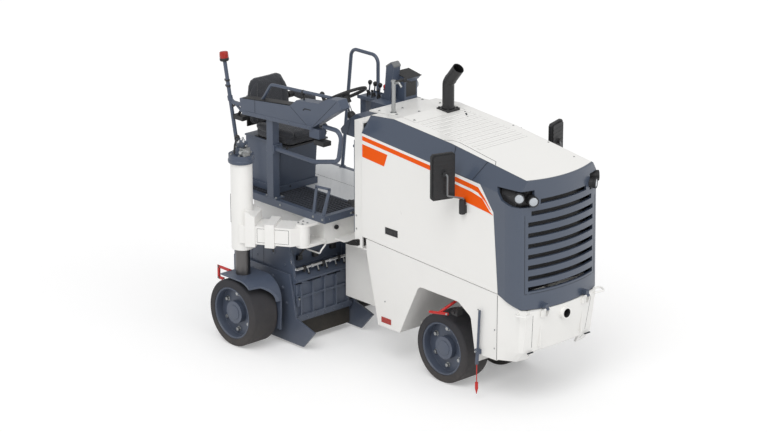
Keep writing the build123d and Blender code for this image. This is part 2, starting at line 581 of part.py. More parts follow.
# ---------------------------------------------------------------- milling unit
def make_milling_unit():
    x0, x1 = HOUSING_X
    y0, y1 = HOUSING_Y
    z0, z1 = HOUSING_LOW_Z, FRAME_Z[0]
    wall = HOUSING_WALL
    housing = box(x0, x1, y0, y1, z0, z1) - box(x0 - 5, x1 + 5, y0 + wall, y1 - wall, z0 - 5, z1 - wall)
    housing -= box(x0 - 5, x0 + 120, y0 + wall, y1 - wall, z0 - 5, z1 - 60)
    # front wall set back over a sloped shelf
    back = x1 - FRONT_RECESS
    housing += box(back - wall, back, y0, y1, 600, z1)
    for y in (y0, y1 - wall):
        notch = [(x1 + 5, 640), (back + 30, z1 - 40), (back + 30, z1 + 5), (x1 + 5, z1 + 5)]
        housing -= prism_xz(notch, y - 5, y + wall + 5)
    shelf = [(x1 + 34, 552), (x1 + 34, 536), (x1, 520), (back - wall, 620), (back - wall, 644)]
    housing += prism_xz(shelf, y0, y1)
    for y in (y0, y1 - wall):
        housing -= cyl((DRUM_X, y - 1, DRUM_Z), (DRUM_X, y + wall + 1, DRUM_Z), 120 + 2 * FIT)
    for x in (-2040, -1500):
        for y, out in ((y0, -1), (y1, 1)):
            housing += box(x - 30, x + 30, y, y + out * (PLATE_GAP - FIT), 240, 560)
    hinge_x, hinge_z = scraper_axis()
    for y in (y0 + wall, y1 - wall - 14):
        housing += cyl((hinge_x, y, hinge_z), (hinge_x, y + 14, hinge_z), 44)
        housing += box(hinge_x, x0 + 60, y, y + 14, hinge_z - 22, z1)
    housing += cyl((hinge_x, y0 + wall, hinge_z), (hinge_x, y1 - wall, hinge_z), 20)
    parts["drum_housing"] = housing
    low, high = DOOR_Z
    door = box(x1, x1 + 16, y0 + 10, y1 - 10, low, high)
    for i in range(DOOR_RIBS):
        y = y0 + 50 + i * DOOR_RIB_PITCH
        door += box(x1 + 16, x1 + 34, y - 8, y + 8, low + 55, high)
    door += box(x1 + 16, x1 + 34, y0 + 10, y1 - 10, low + 15, low + 60)
    door += box(x1 + 16, x1 + 30, y0 + 10, y1 - 10, low + 205, low + 222)
    parts["housing_door"] = door - housing
    parts["rubber_flap"] = box(x1 + 2, x1 + 12, y0 + 20, y1 - 20, 50, low)
    pipe_x = x1 - 8
    pipe = cyl((pipe_x, y0 + 30, PIPE_Z), (pipe_x, y1 - 30, PIPE_Z), 28)
    for y in (y0 + 60, y1 - 60):
        pipe += box(back, pipe_x, y - 10, y + 10, PIPE_Z - 6, PIPE_Z + 10)
    parts["water_pipe"] = pipe - housing

    drum_y0, drum_y1 = DRUM_Y
    drum = cyl((DRUM_X, drum_y0, DRUM_Z), (DRUM_X, drum_y1, DRUM_Z), DRUM_D)
    drum += cyl((DRUM_X, y0 - PLATE_GAP + 1, DRUM_Z), (DRUM_X, y1 + PLATE_GAP - 1, DRUM_Z), 120)
    for row in range(PICK_ROWS):
        for i in range(PICKS_PER_ROW):
            y = drum_y0 + 22 + i * (drum_y1 - drum_y0 - 44) / (PICKS_PER_ROW - 1)
            turn = row * 360 / PICK_ROWS + i * 40
            holder = Pos(0, 0, DRUM_D / 2 + 12) * Box(46, 34, 44)
            tip = Pos(14, 0, PICK_D / 2 - 30) * Rot(0, -35, 0) * Cone(15, 4, 56)
            drum += Pos(DRUM_X, y, DRUM_Z) * Rot(0, turn, 0) * (holder + tip)
    parts["milling_drum"] = drum

    skid = [(-2110, 60), (-2070, 22), (-1260, 22), (-1120, 175), (-1345, 240), (-1420, 600), (-2110, 600)]
    bore = cyl((DRUM_X, -900, DRUM_Z), (DRUM_X, 100, DRUM_Z), 150)
    slot = box(DRUM_X - 75, DRUM_X + 75, -900, 100, DRUM_Z - PLATE_LIFT - 10, DRUM_Z)
    for name, ya, yb in (("side_plate_right", y0 - PLATE_GAP - PLATE_T, y0 - PLATE_GAP),
                         ("side_plate_left", y1 + PLATE_GAP, y1 + PLATE_GAP + PLATE_T)):
        parts[name] = prism_xz(skid, ya, yb) - bore - slot
    flap = box(hinge_x - 10, hinge_x + 10, y0 + wall + 16, y1 - wall - 16, 70, hinge_z)
    flap += cyl((hinge_x, y0 + wall + 16, hinge_z), (hinge_x, y1 - wall - 16, hinge_z), 40)
    for i in range(4):
        y = y0 + 110 + i * 128
        flap += box(hinge_x - 34, hinge_x - 10, y - 7, y + 7, 120, hinge_z - 40)
    parts["rear_scraper"] = flap - cyl((hinge_x, y0, hinge_z), (hinge_x, y1, hinge_z), 20 + 2 * FIT)


def scraper_axis():
    return HOUSING_X[0] - 24, 800


# ---------------------------------------------------------------- rear legs
def leg_with_bracket(cx, cy, out, top_z):
    """Round leg over the wheel, with a plate and a bracket behind the wheel down to the spindle."""
    plate_top = LEG_PLATE_Z + LEG_PLATE_T
    back = cy - out * TYRE_W / 2
    leg = cyl((cx, cy, LEG_PLATE_Z), (cx, cy, top_z), LEG_D)
    near, far = back - out * BRACKET_GAP, back - out * (BRACKET_GAP + BRACKET_T)
    leg += box(cx - 70, cx + 70, cy + out * 60, far, LEG_PLATE_Z, plate_top)
    leg += box(cx - 70, cx + 70, near, far, TYRE_D / 2 - 90, plate_top)
    leg += box(cx - 60, cx + 60, back + out * 22, near, TYRE_D / 2 - 60, TYRE_D / 2 + 60)
    return leg + spindle(cx, cy, out)


def make_rear_right():
    px, py = ARM_PIVOT
    cx, cy = -WHEELBASE, RIGHT_COLUMN_Y
    low, high = ARM_Z
    length = hypot(cx - px, cy - py)
    turn = degrees(atan2(cy - py, cx - px))
    place = Pos(px, py, 0) * Rot(0, 0, turn)
    half = ARM_W / 2
    beam = prism_xy([(0, -45), (0, 45), (75, half), (length, half), (length, -half), (75, -half)], low, high)
    gusset = [(length - 134, low - 24), (length - 134, high + 76), (length - 50, high + 123),
              (length - 50, low - 24)]
    beam += prism_xz(gusset, -half - 8, half + 8)
    beam += box(length - 293, length - 215, -half - 13, half + 13, low - 20, high + 24)
    arm = place * beam
    arm += cyl((px, py, low), (px, py, high), BOSS_D - 2)
    arm -= cyl((px, py, low), (px, py, high), ARM_PIN_D + 2 * FIT)
    arm += cyl((cx, cy, COLUMN_Z[0]), (cx, cy, COLUMN_Z[1]), COLUMN_D)
    arm -= cyl((cx, cy, COLUMN_Z[0]), (cx, cy, COLUMN_Z[1]), LEG_D + 2 * FIT)
    parts["swing_arm"] = arm
    cap = cyl((cx, cy, COLUMN_Z[1] + SEAT_GAP), (cx, cy, CAP_Z), 204)
    cap += cyl((cx, cy, CAP_Z), (cx, cy, CAP_Z + 60), 110)
    cap += cyl((cx - 30, cy, CAP_Z + 60), (cx - 30, cy, CAP_Z + 118), 34)
    cap += box(cx - 10, cx + 50, cy - 30, cy + 30, CAP_Z + 60, CAP_Z + 105)
    parts["column_cap"] = cap
    parts["rear_right_leg"] = leg_with_bracket(cx, cy, -1, LEG_TOP_Z)
    # fender: flat over the tyre, bent down ahead of it, with a cheek on the inner side
    half = TYRE_W / 2 + 8
    top = LEG_PLATE_Z + LEG_PLATE_T
    deck = top + FENDER_T
    bend_x, bend_z = cx + TYRE_D / 2 + 22 - FENDER_BEND, deck - FENDER_BEND
    inner = cy + half
    outer = inner + FENDER_T
    tail = cx - 120

    def bent_block(y0, y1, inset):
        radius = FENDER_BEND - inset
        flat = box(tail - inset, bend_x, y0, y1, bend_z - inset, deck - inset)
        return flat + cyl((bend_x, y0, bend_z), (bend_x, y1, bend_z), 2 * radius)

    above = box(tail, bend_x + 300, cy - half, outer, bend_z, deck)
    fender = (bent_block(cy - half, outer, 0) - bent_block(cy - half - 5, outer + 5, FENDER_T)) & above
    front = bend_x + FENDER_BEND
    plan = [(cx + 228, cy - half - 5), (cx + 236, cy - 20), (front - 4, inner - 25), (front + 60, inner - 25),
            (front + 60, cy - half - 5)]
    fender -= prism_xy(plan, bend_z - 5, deck + 5)
    side = [(cx + 62, top - 5), (cx + 62, deck), (front, deck), (front, bend_z), (cx + 240, bend_z),
            (cx + 150, top - 20)]
    fender += bent_block(inner, outer, 0) & prism_xz(side, inner, outer)
    side = [(cx + 240, bend_z), (front, bend_z), (front, 300), (front - 8, 150), (cx + 248, 150), (cx + 262, 300)]
    fender += prism_xz(side, inner, outer)
    fender -= cyl((cx, cy, top - 5), (cx, cy, top + 50), LEG_D)
    fender -= parts["rear_right_leg"]
    parts["rear_right_fender"] = fender
    y = cy - 30
    guard = tube([(cx - 112, y, deck), (cx - 262, y, deck), (cx - 262, y, 497), (cx - 205, y, 500)], 16, 14)
    parts["foot_guard"] = guard - fender


def make_rear_left():
    cx, cy = -WHEELBASE, LEFT_COLUMN_Y
    parts["rear_left_leg"] = leg_with_bracket(cx, cy, 1, LEFT_LEG_TOP_Z)


# ---------------------------------------------------------------- small pieces
def make_trim():
    y = -BODY_HALF
    x = 462
    rod = tube([(x + 16, y - 22, 745), (x, y - 22, 395)], 20, 10)
    rod += cyl((x, y - 22, 405), (x - 8, y - 22, 305), 28)
    rod += cyl((x - 8, y - 22, 320), (x - 8, y - 22, 300), 24)
    rod += box(x - 12, x + 20, y - 32, y, 388, 424)
    parts["side_pointer"] = rod
    plumb = cyl((x - 8, y - 22, 299.9), (x - 8, y - 22, 150), 8)
    plumb += Pos(x - 8, y - 22, 125) * Cylinder(13, 50)
    plumb += Pos(x - 8, y - 22, 77.5) * Rot(180, 0, 0) * Cone(13, 2, 45)
    parts["pointer_plumb"] = plumb
    bar = tube([(-40, y - 50, 600), (160, y - 50, 636)], 22, 10)
    bar += tube([(60, y - 50, 618), (110, -380, 690), (150, -300, 748)], 22, 30)
    parts["guard_bar"] = bar - parts["wheel_well"]


def build():
    make_wheels()
    make_front_axle()
    make_chassis()
    make_bumper()
    make_hood()
    make_upper_body()
    make_stand()
    make_milling_unit()
    make_rear_right()
    make_rear_left()
    make_trim()


def origin_shift():
    """Vector that brings the bottom centre of the whole machine's box to the origin."""
    boxes = [shape.bounding_box() for shape in parts.values()]
    low = [min(b.min.X for b in boxes), min(b.min.Y for b in boxes), min(b.min.Z for b in boxes)]
    high = [max(b.max.X for b in boxes), max(b.max.Y for b in boxes)]
    return Vector(-(low[0] + high[0]) / 2, -(low[1] + high[1]) / 2, -low[2])


def export_all():
    os.makedirs("parts", exist_ok=True)
    move = Pos(*origin_shift())
    for name, shape in parts.items():
        export_step(move * shape, f"parts/{name}.step")


build()
export_all()
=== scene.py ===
import bmesh
import bpy
from math import cos, pi, radians, sin, tan
from mathutils import Matrix, Vector


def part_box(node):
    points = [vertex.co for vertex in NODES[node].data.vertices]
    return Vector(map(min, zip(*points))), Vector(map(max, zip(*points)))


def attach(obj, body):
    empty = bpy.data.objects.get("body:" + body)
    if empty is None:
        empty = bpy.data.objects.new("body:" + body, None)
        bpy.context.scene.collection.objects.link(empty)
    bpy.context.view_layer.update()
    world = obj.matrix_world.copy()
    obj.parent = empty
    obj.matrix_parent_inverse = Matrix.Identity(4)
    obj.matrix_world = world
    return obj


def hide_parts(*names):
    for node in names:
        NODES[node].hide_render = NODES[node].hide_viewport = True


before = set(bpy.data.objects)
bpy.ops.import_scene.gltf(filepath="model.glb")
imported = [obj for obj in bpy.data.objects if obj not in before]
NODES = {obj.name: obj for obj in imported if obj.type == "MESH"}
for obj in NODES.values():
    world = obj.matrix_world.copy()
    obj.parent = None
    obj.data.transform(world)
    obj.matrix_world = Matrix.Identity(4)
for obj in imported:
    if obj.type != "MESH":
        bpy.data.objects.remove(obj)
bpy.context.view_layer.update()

# Cold planer milling machine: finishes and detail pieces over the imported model, in metres.
# Pieces are laid out from the front axle: x ahead of it, y to the machine's left, z above the ground.


def middle(node):
    low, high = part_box(node)
    return (low + high) / 2


right_tyre, left_tyre = middle("front_right_tyre"), middle("front_left_tyre")
AXLE = Vector((right_tyre.x, (right_tyre.y + left_tyre.y) / 2, 0))

SIDES = ((-1, "right"), (1, "left"))    # sign of y, and the word in the names
WHEELBASE = 1.72
WHEEL_Z = 0.2795                        # height of the wheels' centres
WHEEL_HALF = 0.127                      # half a tyre's width
HOOD_HALF = 0.452                       # half width over the hood's and the chassis' sides
COLUMN = (-1.720, -0.970)               # axis of the right lifting column
ARM_PIVOT = (-1.304, -0.690)            # axis on which the column's arm swings


def span(node):
    """Lowest and highest corner of a node, from the front axle."""
    return [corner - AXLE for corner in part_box(node)]


def placed(name, data):
    """New object in the scene for a mesh, a camera or a lamp."""
    thing = bpy.data.objects.new(name, data)
    bpy.context.scene.collection.objects.link(thing)
    return thing


# ---------------------------------------------------------------- nodes
def fill(tree, node, inputs):
    """Sets inputs to numbers, or links them to the sockets given."""
    for socket, source in inputs.items():
        if isinstance(source, bpy.types.NodeSocket):
            tree.links.new(source, node.inputs[socket])
        else:
            node.inputs[socket].default_value = source
    return node


def add(tree, kind, inputs=None, **settings):
    """Node with its settings and its inputs."""
    node = tree.nodes.new(kind)
    for key, value in settings.items():
        setattr(node, key, value)
    return fill(tree, node, inputs or {})


def maths(tree, operation, *inputs):
    return add(tree, "ShaderNodeMath", dict(enumerate(inputs)), operation=operation).outputs[0]


def mixed(tree, share, low, high):
    return add(tree, "ShaderNodeMix", {0: share, 6: low, 7: high}, data_type="RGBA").outputs[2]


def use(tree, group, **inputs):
    """Places a shader group and gives its one output."""
    node = tree.nodes.new("ShaderNodeGroup")
    node.node_tree = group
    return fill(tree, node, inputs).outputs[0]


# ---------------------------------------------------------------- shader groups
SHADER_SOCKETS = {"value": "NodeSocketFloat", "vector": "NodeSocketVector"}


def shader_group(name, inputs, output):
    """Shader group with named inputs, each given as (name, kind, value), and one output."""
    tree = bpy.data.node_groups.new(name, "ShaderNodeTree")
    for label, kind, value in inputs:
        socket = tree.interface.new_socket(label, in_out="INPUT", socket_type=SHADER_SOCKETS[kind])
        if value is not None:
            socket.default_value = value
    tree.interface.new_socket(output, in_out="OUTPUT", socket_type="NodeSocketFloat")
    return tree, tree.nodes.new("NodeGroupInput").outputs, tree.nodes.new("NodeGroupOutput").inputs[0]


def noise(tree, vector, scale, detail, roughness=0.5):
    return add(tree, "ShaderNodeTexNoise",
               {"Vector": vector, "Scale": scale, "Detail": detail, "Roughness": roughness}).outputs["Fac"]


def clamped(tree, value):
    return add(tree, "ShaderNodeClamp", {"Value": value}).outputs[0]


def make_cloud_group():
    """Soft blotches between 0 and 1, for tone and gloss that vary over a surface."""
    tree, given, mask = shader_group("cloud", [("Vector", "vector", None), ("Scale", "value", 3.0),
                                               ("Contrast", "value", 1.0)], "Mask")
    centred = maths(tree, "SUBTRACT", noise(tree, given["Vector"], given["Scale"], 5.0), 0.5)
    tree.links.new(clamped(tree, maths(tree, "MULTIPLY_ADD", centred, given["Contrast"], 0.5)), mask)
    return tree


def make_soil_group():
    """Road dust that thins out with the height above the ground."""
    tree, given, mask = shader_group("road_soil", [("Vector", "vector", None), ("Height", "value", 0.6),
                                                   ("Amount", "value", 0.3)], "Mask")
    axes = add(tree, "ShaderNodeSeparateXYZ", {"Vector": given["Vector"]})
    share = maths(tree, "DIVIDE", axes.outputs["Z"], given["Height"])
    fall = clamped(tree, maths(tree, "SUBTRACT", 1.0, share))
    speck = maths(tree, "MULTIPLY", noise(tree, given["Vector"], 9.0, 7.0, 0.65), fall)
    tree.links.new(maths(tree, "MULTIPLY", speck, given["Amount"]), mask)
    return tree


def make_grain_group():
    """Fine surface height: spray texture, moulded grain or cast skin."""
    tree, given, height = shader_group("fine_grain", [("Vector", "vector", None), ("Scale", "value", 300.0),
                                                      ("Coarse", "value", 0.2)], "Height")
    fine = noise(tree, given["Vector"], given["Scale"], 2.0)
    wide = noise(tree, given["Vector"], 14.0, 2.0)
    tree.links.new(maths(tree, "MULTIPLY_ADD", wide, given["Coarse"], fine), height)
    return tree


def make_edge_highlight_and_wear_group():
    """Mask of edges lightened as painted highlight and as wear, from the rounded normal against the true one,
    broken up by scratches.
    """
    tree, given, mask = shader_group("painted_edge_highlight_and_wear", [("Vector", "vector", None), ("Rounded", "vector", None),
                                                     ("Plain", "vector", None), ("Strength", "value", 4.0)],
                                     "Mask")
    same = add(tree, "ShaderNodeVectorMath", {0: given["Rounded"], 1: given["Plain"]},
               operation="DOT_PRODUCT")
    turned_away = maths(tree, "SUBTRACT", 1.0, same.outputs["Value"])
    edge = maths(tree, "MULTIPLY", turned_away, given["Strength"])
    scratches = noise(tree, given["Vector"], 45.0, 4.0)
    tree.links.new(clamped(tree, maths(tree, "MULTIPLY", edge, scratches)), mask)
    return tree


CLOUD, SOIL, GRAIN, EDGE_HIGHLIGHT_AND_WEAR = make_cloud_group(), make_soil_group(), make_grain_group(), make_edge_highlight_and_wear_group()


# ---------------------------------------------------------------- finishes
def linear(red, green, blue):
    """Screen colour of 0-255 as linear light."""
    shares = [c / 255 for c in (red, green, blue)]
    return (*(s / 12.92 if s <= 10 / 255 else ((s + 0.055) / 1.055) ** 2.4 for s in shares), 1.0)


def shaded(colour, share):
    """A colour made darker by a share of its light."""
    return tuple(c * share for c in colour[:3]) + (1.0,)


def new_material(name):
    """Material with its tree, its Principled shader and Object coordinates."""
    material = bpy.data.materials.new(name)
    material.use_nodes = True
    tree = material.node_tree
    return material, tree, tree.nodes["Principled BSDF"], add(tree, "ShaderNodeTexCoord").outputs["Object"]


def spread(tree, value, low, high):
    """Value between 0 and 1, brought between low and high."""
    return add(tree, "ShaderNodeMapRange", {"Value": value, "To Min": low, "To Max": high}).outputs[0]


SOIL_COLOUR = linear(150, 138, 122)
RELIEF = 0.002      # distance over which the fine grain stands out


def finish(name, colour, rough, metal=0.0, coat=0.0, spec=0.5, grain=300.0, bump=0.05, coarse=0.2, tone=0.06,
           edge=0.0035, highlight_and_wear=0.0, highlight_and_wear_colour=None, soil=0.12, soil_height=0.7):
    """Solid finish with varied tone and gloss, fine grain, rounded edges lightened as painted highlight and
    as wear, and soil low down.
    """
    material, tree, shader, place = new_material(name)
    colour = linear(*colour)
    base = mixed(tree, use(tree, CLOUD, Vector=place, Scale=2.6, Contrast=1.6), shaded(colour, 1 - tone),
                 colour)
    rounded = add(tree, "ShaderNodeBevel", {"Radius": edge}, samples=4).outputs[0]
    # edges lightened towards the edge colour: partly painted highlight, partly worn paint
    if highlight_and_wear:
        true = add(tree, "ShaderNodeNewGeometry").outputs["Normal"]
        mask = use(tree, EDGE_HIGHLIGHT_AND_WEAR, Vector=place, Rounded=rounded, Plain=true, Strength=highlight_and_wear)
        base = mixed(tree, mask, base, linear(*highlight_and_wear_colour))
    if soil:
        base = mixed(tree, use(tree, SOIL, Vector=place, Height=soil_height, Amount=soil), base, SOIL_COLOUR)
    gloss = use(tree, CLOUD, Vector=place, Scale=11.0, Contrast=1.2)
    height = use(tree, GRAIN, Vector=place, Scale=grain, Coarse=coarse)
    relief = add(tree, "ShaderNodeBump", {"Strength": bump, "Distance": RELIEF, "Height": height,
                                          "Normal": rounded})
    fill(tree, shader, {
        "Base Color": base, "Roughness": spread(tree, gloss, rough - 0.05, rough + 0.07),
        "Normal": relief.outputs[0], "Metallic": metal, "Coat Weight": coat, "Coat Roughness": 0.12,
        "Specular IOR Level": spec})
    material.diffuse_color = colour
    return material


def tread_plate_finish():
    """Rolled aluminium with long rolling streaks."""
    material = finish("tread_plate", (224, 226, 228), 0.4, metal=0.3, tone=0.08, grain=700, bump=0.06,
                      edge=0.001)
    tree = material.node_tree
    place = add(tree, "ShaderNodeTexCoord").outputs["Object"]
    stretch = add(tree, "ShaderNodeMapping", {"Vector": place, "Scale": (4.0, 90.0, 4.0)})
    streak = noise(tree, stretch.outputs[0], 3.0, 3.0)
    fill(tree, tree.nodes["Principled BSDF"], {"Roughness": spread(tree, streak, 0.26, 0.5)})
    return material


def fabric_finish(name, colour, pitch):
    """Woven seat cloth: two crossing threads in height and tone, with a soft sheen."""
    material, tree, shader, place = new_material(name)
    turned = add(tree, "ShaderNodeMapping", {"Vector": place, "Rotation": (0.4, 0.5, radians(45))}).outputs[0]
    wave = {"Vector": turned, "Scale": 1 / pitch, "Distortion": 0.6, "Detail": 1.0}
    threads = [add(tree, "ShaderNodeTexWave", wave, bands_direction=way).outputs["Fac"] for way in ("X", "Y")]
    weave = maths(tree, "MULTIPLY", *threads)
    cloud = use(tree, CLOUD, Vector=place, Scale=7.0, Contrast=1.4)
    colour = linear(*colour)
    tone = mixed(tree, cloud, shaded(colour, 0.85), colour)
    height = maths(tree, "ADD", *threads)
    relief = add(tree, "ShaderNodeBump", {"Strength": 0.35, "Distance": 0.0012, "Height": height})
    fill(tree, shader, {
        "Base Color": mixed(tree, weave, shaded(colour, 0.62), tone), "Normal": relief.outputs[0],
        "Roughness": spread(tree, cloud, 0.82, 0.95), "Sheen Weight": 0.35, "Sheen Roughness": 0.4})
    return material


def lens_finish(name, colour, rough, ribs, coat=0.8):
    """Moulded lens with ribs in its surface height."""
    material, tree, shader, place = new_material(name)
    wave = add(tree, "ShaderNodeTexWave", {"Vector": place, "Scale": ribs, "Distortion": 0.0},
               bands_direction="Z")
    cloud = use(tree, CLOUD, Vector=place, Scale=30.0, Contrast=1.5)
    colour = linear(*colour)
    relief = add(tree, "ShaderNodeBump", {"Strength": 0.3, "Distance": RELIEF, "Height": wave.outputs["Fac"]})
    fill(tree, shader, {
        "Base Color": mixed(tree, cloud, shaded(colour, 0.8), colour), "Normal": relief.outputs[0],
        "Roughness": spread(tree, cloud, rough, rough + 0.06), "Coat Weight": coat, "Coat Roughness": 0.03})
    return material


# The edge colours below lighten every edge: partly painted highlight, partly worn paint; on the white paint
# they are painted highlight.
SLATE = finish("slate_paint", (74, 84, 102), 0.42, coat=0.15, highlight_and_wear=3.0, highlight_and_wear_colour=(150, 156, 165))
SLATE_SHELL = finish("slate_gel_coat", (71, 81, 98), 0.32, coat=0.4, grain=160, bump=0.03, edge=0.006,
                     soil=0.05)
WHITE = finish("white_paint", (245, 244, 241), 0.38, coat=0.25, tone=0.03, highlight_and_wear=1.5,
               highlight_and_wear_colour=(250, 250, 248), soil=0.2)
WHITE_SHELL = finish("white_gel_coat", (245, 244, 241), 0.30, coat=0.4, tone=0.02, grain=160, bump=0.03,
                     edge=0.005, soil=0.06)
RED = finish("red_paint", (196, 20, 16), 0.4, coat=0.15, highlight_and_wear=1.2, highlight_and_wear_colour=(214, 80, 72))
ORANGE = finish("orange_film", (247, 93, 2), 0.5, spec=0.15, tone=0.02, grain=500, bump=0.01, edge=0.001,
                soil=0.0)
BLACK = finish("black_paint", (34, 34, 36), 0.42, coat=0.1, highlight_and_wear=2.0, highlight_and_wear_colour=(90, 90, 92))
PLASTIC = finish("black_moulding", (36, 36, 38), 0.55, grain=600, bump=0.12, soil=0.03)
GREY_PLASTIC = finish("grey_moulding", (120, 122, 124), 0.5, grain=500, bump=0.08)
RUBBER = finish("rubber_sheet", (36, 36, 36), 0.7, spec=0.3, grain=220, bump=0.18, soil=0.25,
                soil_height=0.35)
CHROME = finish("chrome", (205, 206, 208), 0.12, metal=1.0, tone=0.03, bump=0.01, soil=0.0)
ZINC = finish("zinc_plate", (176, 178, 178), 0.34, metal=1.0, tone=0.1, grain=400, bump=0.06, soil=0.05)
STEEL = finish("turned_steel", (110, 108, 108), 0.36, metal=1.0, tone=0.18, grain=500, bump=0.05)
CASTING = finish("engine_casting", (70, 72, 76), 0.6, grain=120, bump=0.3)
WORN_STEEL = finish("pick_steel", (120, 112, 104), 0.48, metal=0.9, tone=0.3, grain=150, bump=0.3, soil=0.3)
# painted shade of seams, folds, slots, holes and recesses, laid on as thin dark ribbons and patches
SEAM_SHADE = finish("seam_shadow", (60, 62, 66), 0.8, spec=0.2, soil=0.0)
GRATING = finish("grating_steel", (66, 70, 79), 0.5, highlight_and_wear=2.0, highlight_and_wear_colour=(110, 114, 120))
SCALE_WHITE = finish("scale_plate", (232, 232, 228), 0.4, soil=0.0)
TYRE = finish("solid_tyre", (58, 58, 62), 0.74, spec=0.3, grain=90, bump=0.22, coarse=0.6, tone=0.25,
              edge=0.006, soil=0.22, soil_height=0.5)
TREAD_PLATE = tread_plate_finish()
FABRIC = fabric_finish("seat_cloth", (68, 70, 76), 0.004)
PIPING = fabric_finish("seat_piping", (46, 47, 51), 0.003)
LENS = lens_finish("lamp_lens", (196, 202, 208), 0.08, 60)
RED_LENS = lens_finish("beacon_lens", (176, 26, 2), 0.2, 45, coat=0.2)
MIRROR_GLASS = lens_finish("mirror_glass", (90, 98, 106), 0.05, 0.01)

NODE_FINISH = (
    (SLATE, "platform_frame seat_box side_console drum_housing housing_door side_plate_right side_plate_left "
            "rear_scraper rear_right_fender dashboard lever_bank steering_pod lamp_box column_cap "
            "side_pointer front_right_rim front_left_rim rear_right_rim rear_left_rim handrails "
            "beacon_pole"),
    (SLATE_SHELL, "hood_cowl"),
    (WHITE, "side_panels front_bumper chassis_frame wheel_well rear_cross_box swing_arm rear_deck"),
    (WHITE_SHELL, "hood_top hood_sides"),
    (RED, "foot_guard guard_bar pointer_plumb"),
    (BLACK, "front_axle front_knuckle_right front_knuckle_left exhaust_pipe floor_grating grille_screen"),
    (WORN_STEEL, "milling_drum"),
    (PLASTIC, "hood_mirrors steering_wheel work_lamps"),
    (RED_LENS, "beacon_lamp"),
    (TYRE, "front_right_tyre front_left_tyre rear_right_tyre rear_left_tyre"),
    (RUBBER, "rubber_flap"),
    (CHROME, "steering_column water_pipe"),
    (ZINC, "clamp_post"),
    (STEEL, "rear_right_leg rear_left_leg"),
    (TREAD_PLATE, "chequer_plate"),
    (FABRIC, "seat_cushion seat_back seat_armrest"),
    (CASTING, "engine_block"),
)
for material, names in NODE_FINISH:
    for name in names.split():
        for place in NODES[name].material_slots:
            place.material = material


# ---------------------------------------------------------------- piece making
BEND_STEPS = 6      # straight facets in each bend of a pipe
SHARP_ANGLE = 35    # degrees over which an edge is left sharp


def bend_path(points, radius):
    """Straight runs joined by arcs."""
    points = [Vector(p) for p in points]
    path = [points[0]]
    for before, corner, after in zip(points, points[1:], points[2:]):
        a, b = (before - corner), (after - corner)
        reach = min(a.length, b.length) * 0.48
        a.normalize()
        b.normalize()
        half = a.angle(b) / 2
        trim = min(radius / tan(half), reach) if half < pi / 2 - 0.01 else 0
        if trim < 1e-5:
            path.append(corner)
            continue
        arc_radius = trim * tan(half)
        centre = corner + (a + b).normalized() * (arc_radius / sin(half))
        start, stop = corner + a * trim - centre, corner + b * trim - centre
        for i in range(BEND_STEPS + 1):
            path.append(centre + start.slerp(stop, i / BEND_STEPS).normalized() * arc_radius)
    path.append(points[-1])
    return path


def spoke(side, up, angle):
    return side * cos(angle) + up * sin(angle)


def skin(bm, a, b):
    """Faces between two rings of vertices; a ring of one vertex is a tip."""
    count = max(len(a), len(b))
    faces = []
    for k in range(count):
        j = (k + 1) % count
        if len(a) == 1:
            corners = (a[0], b[j], b[k])
        elif len(b) == 1:
            corners = (a[k], a[j], b[0])
        else:
            corners = (a[k], a[j], b[j], b[k])
        faces.append(bm.faces.new(corners))
    return faces


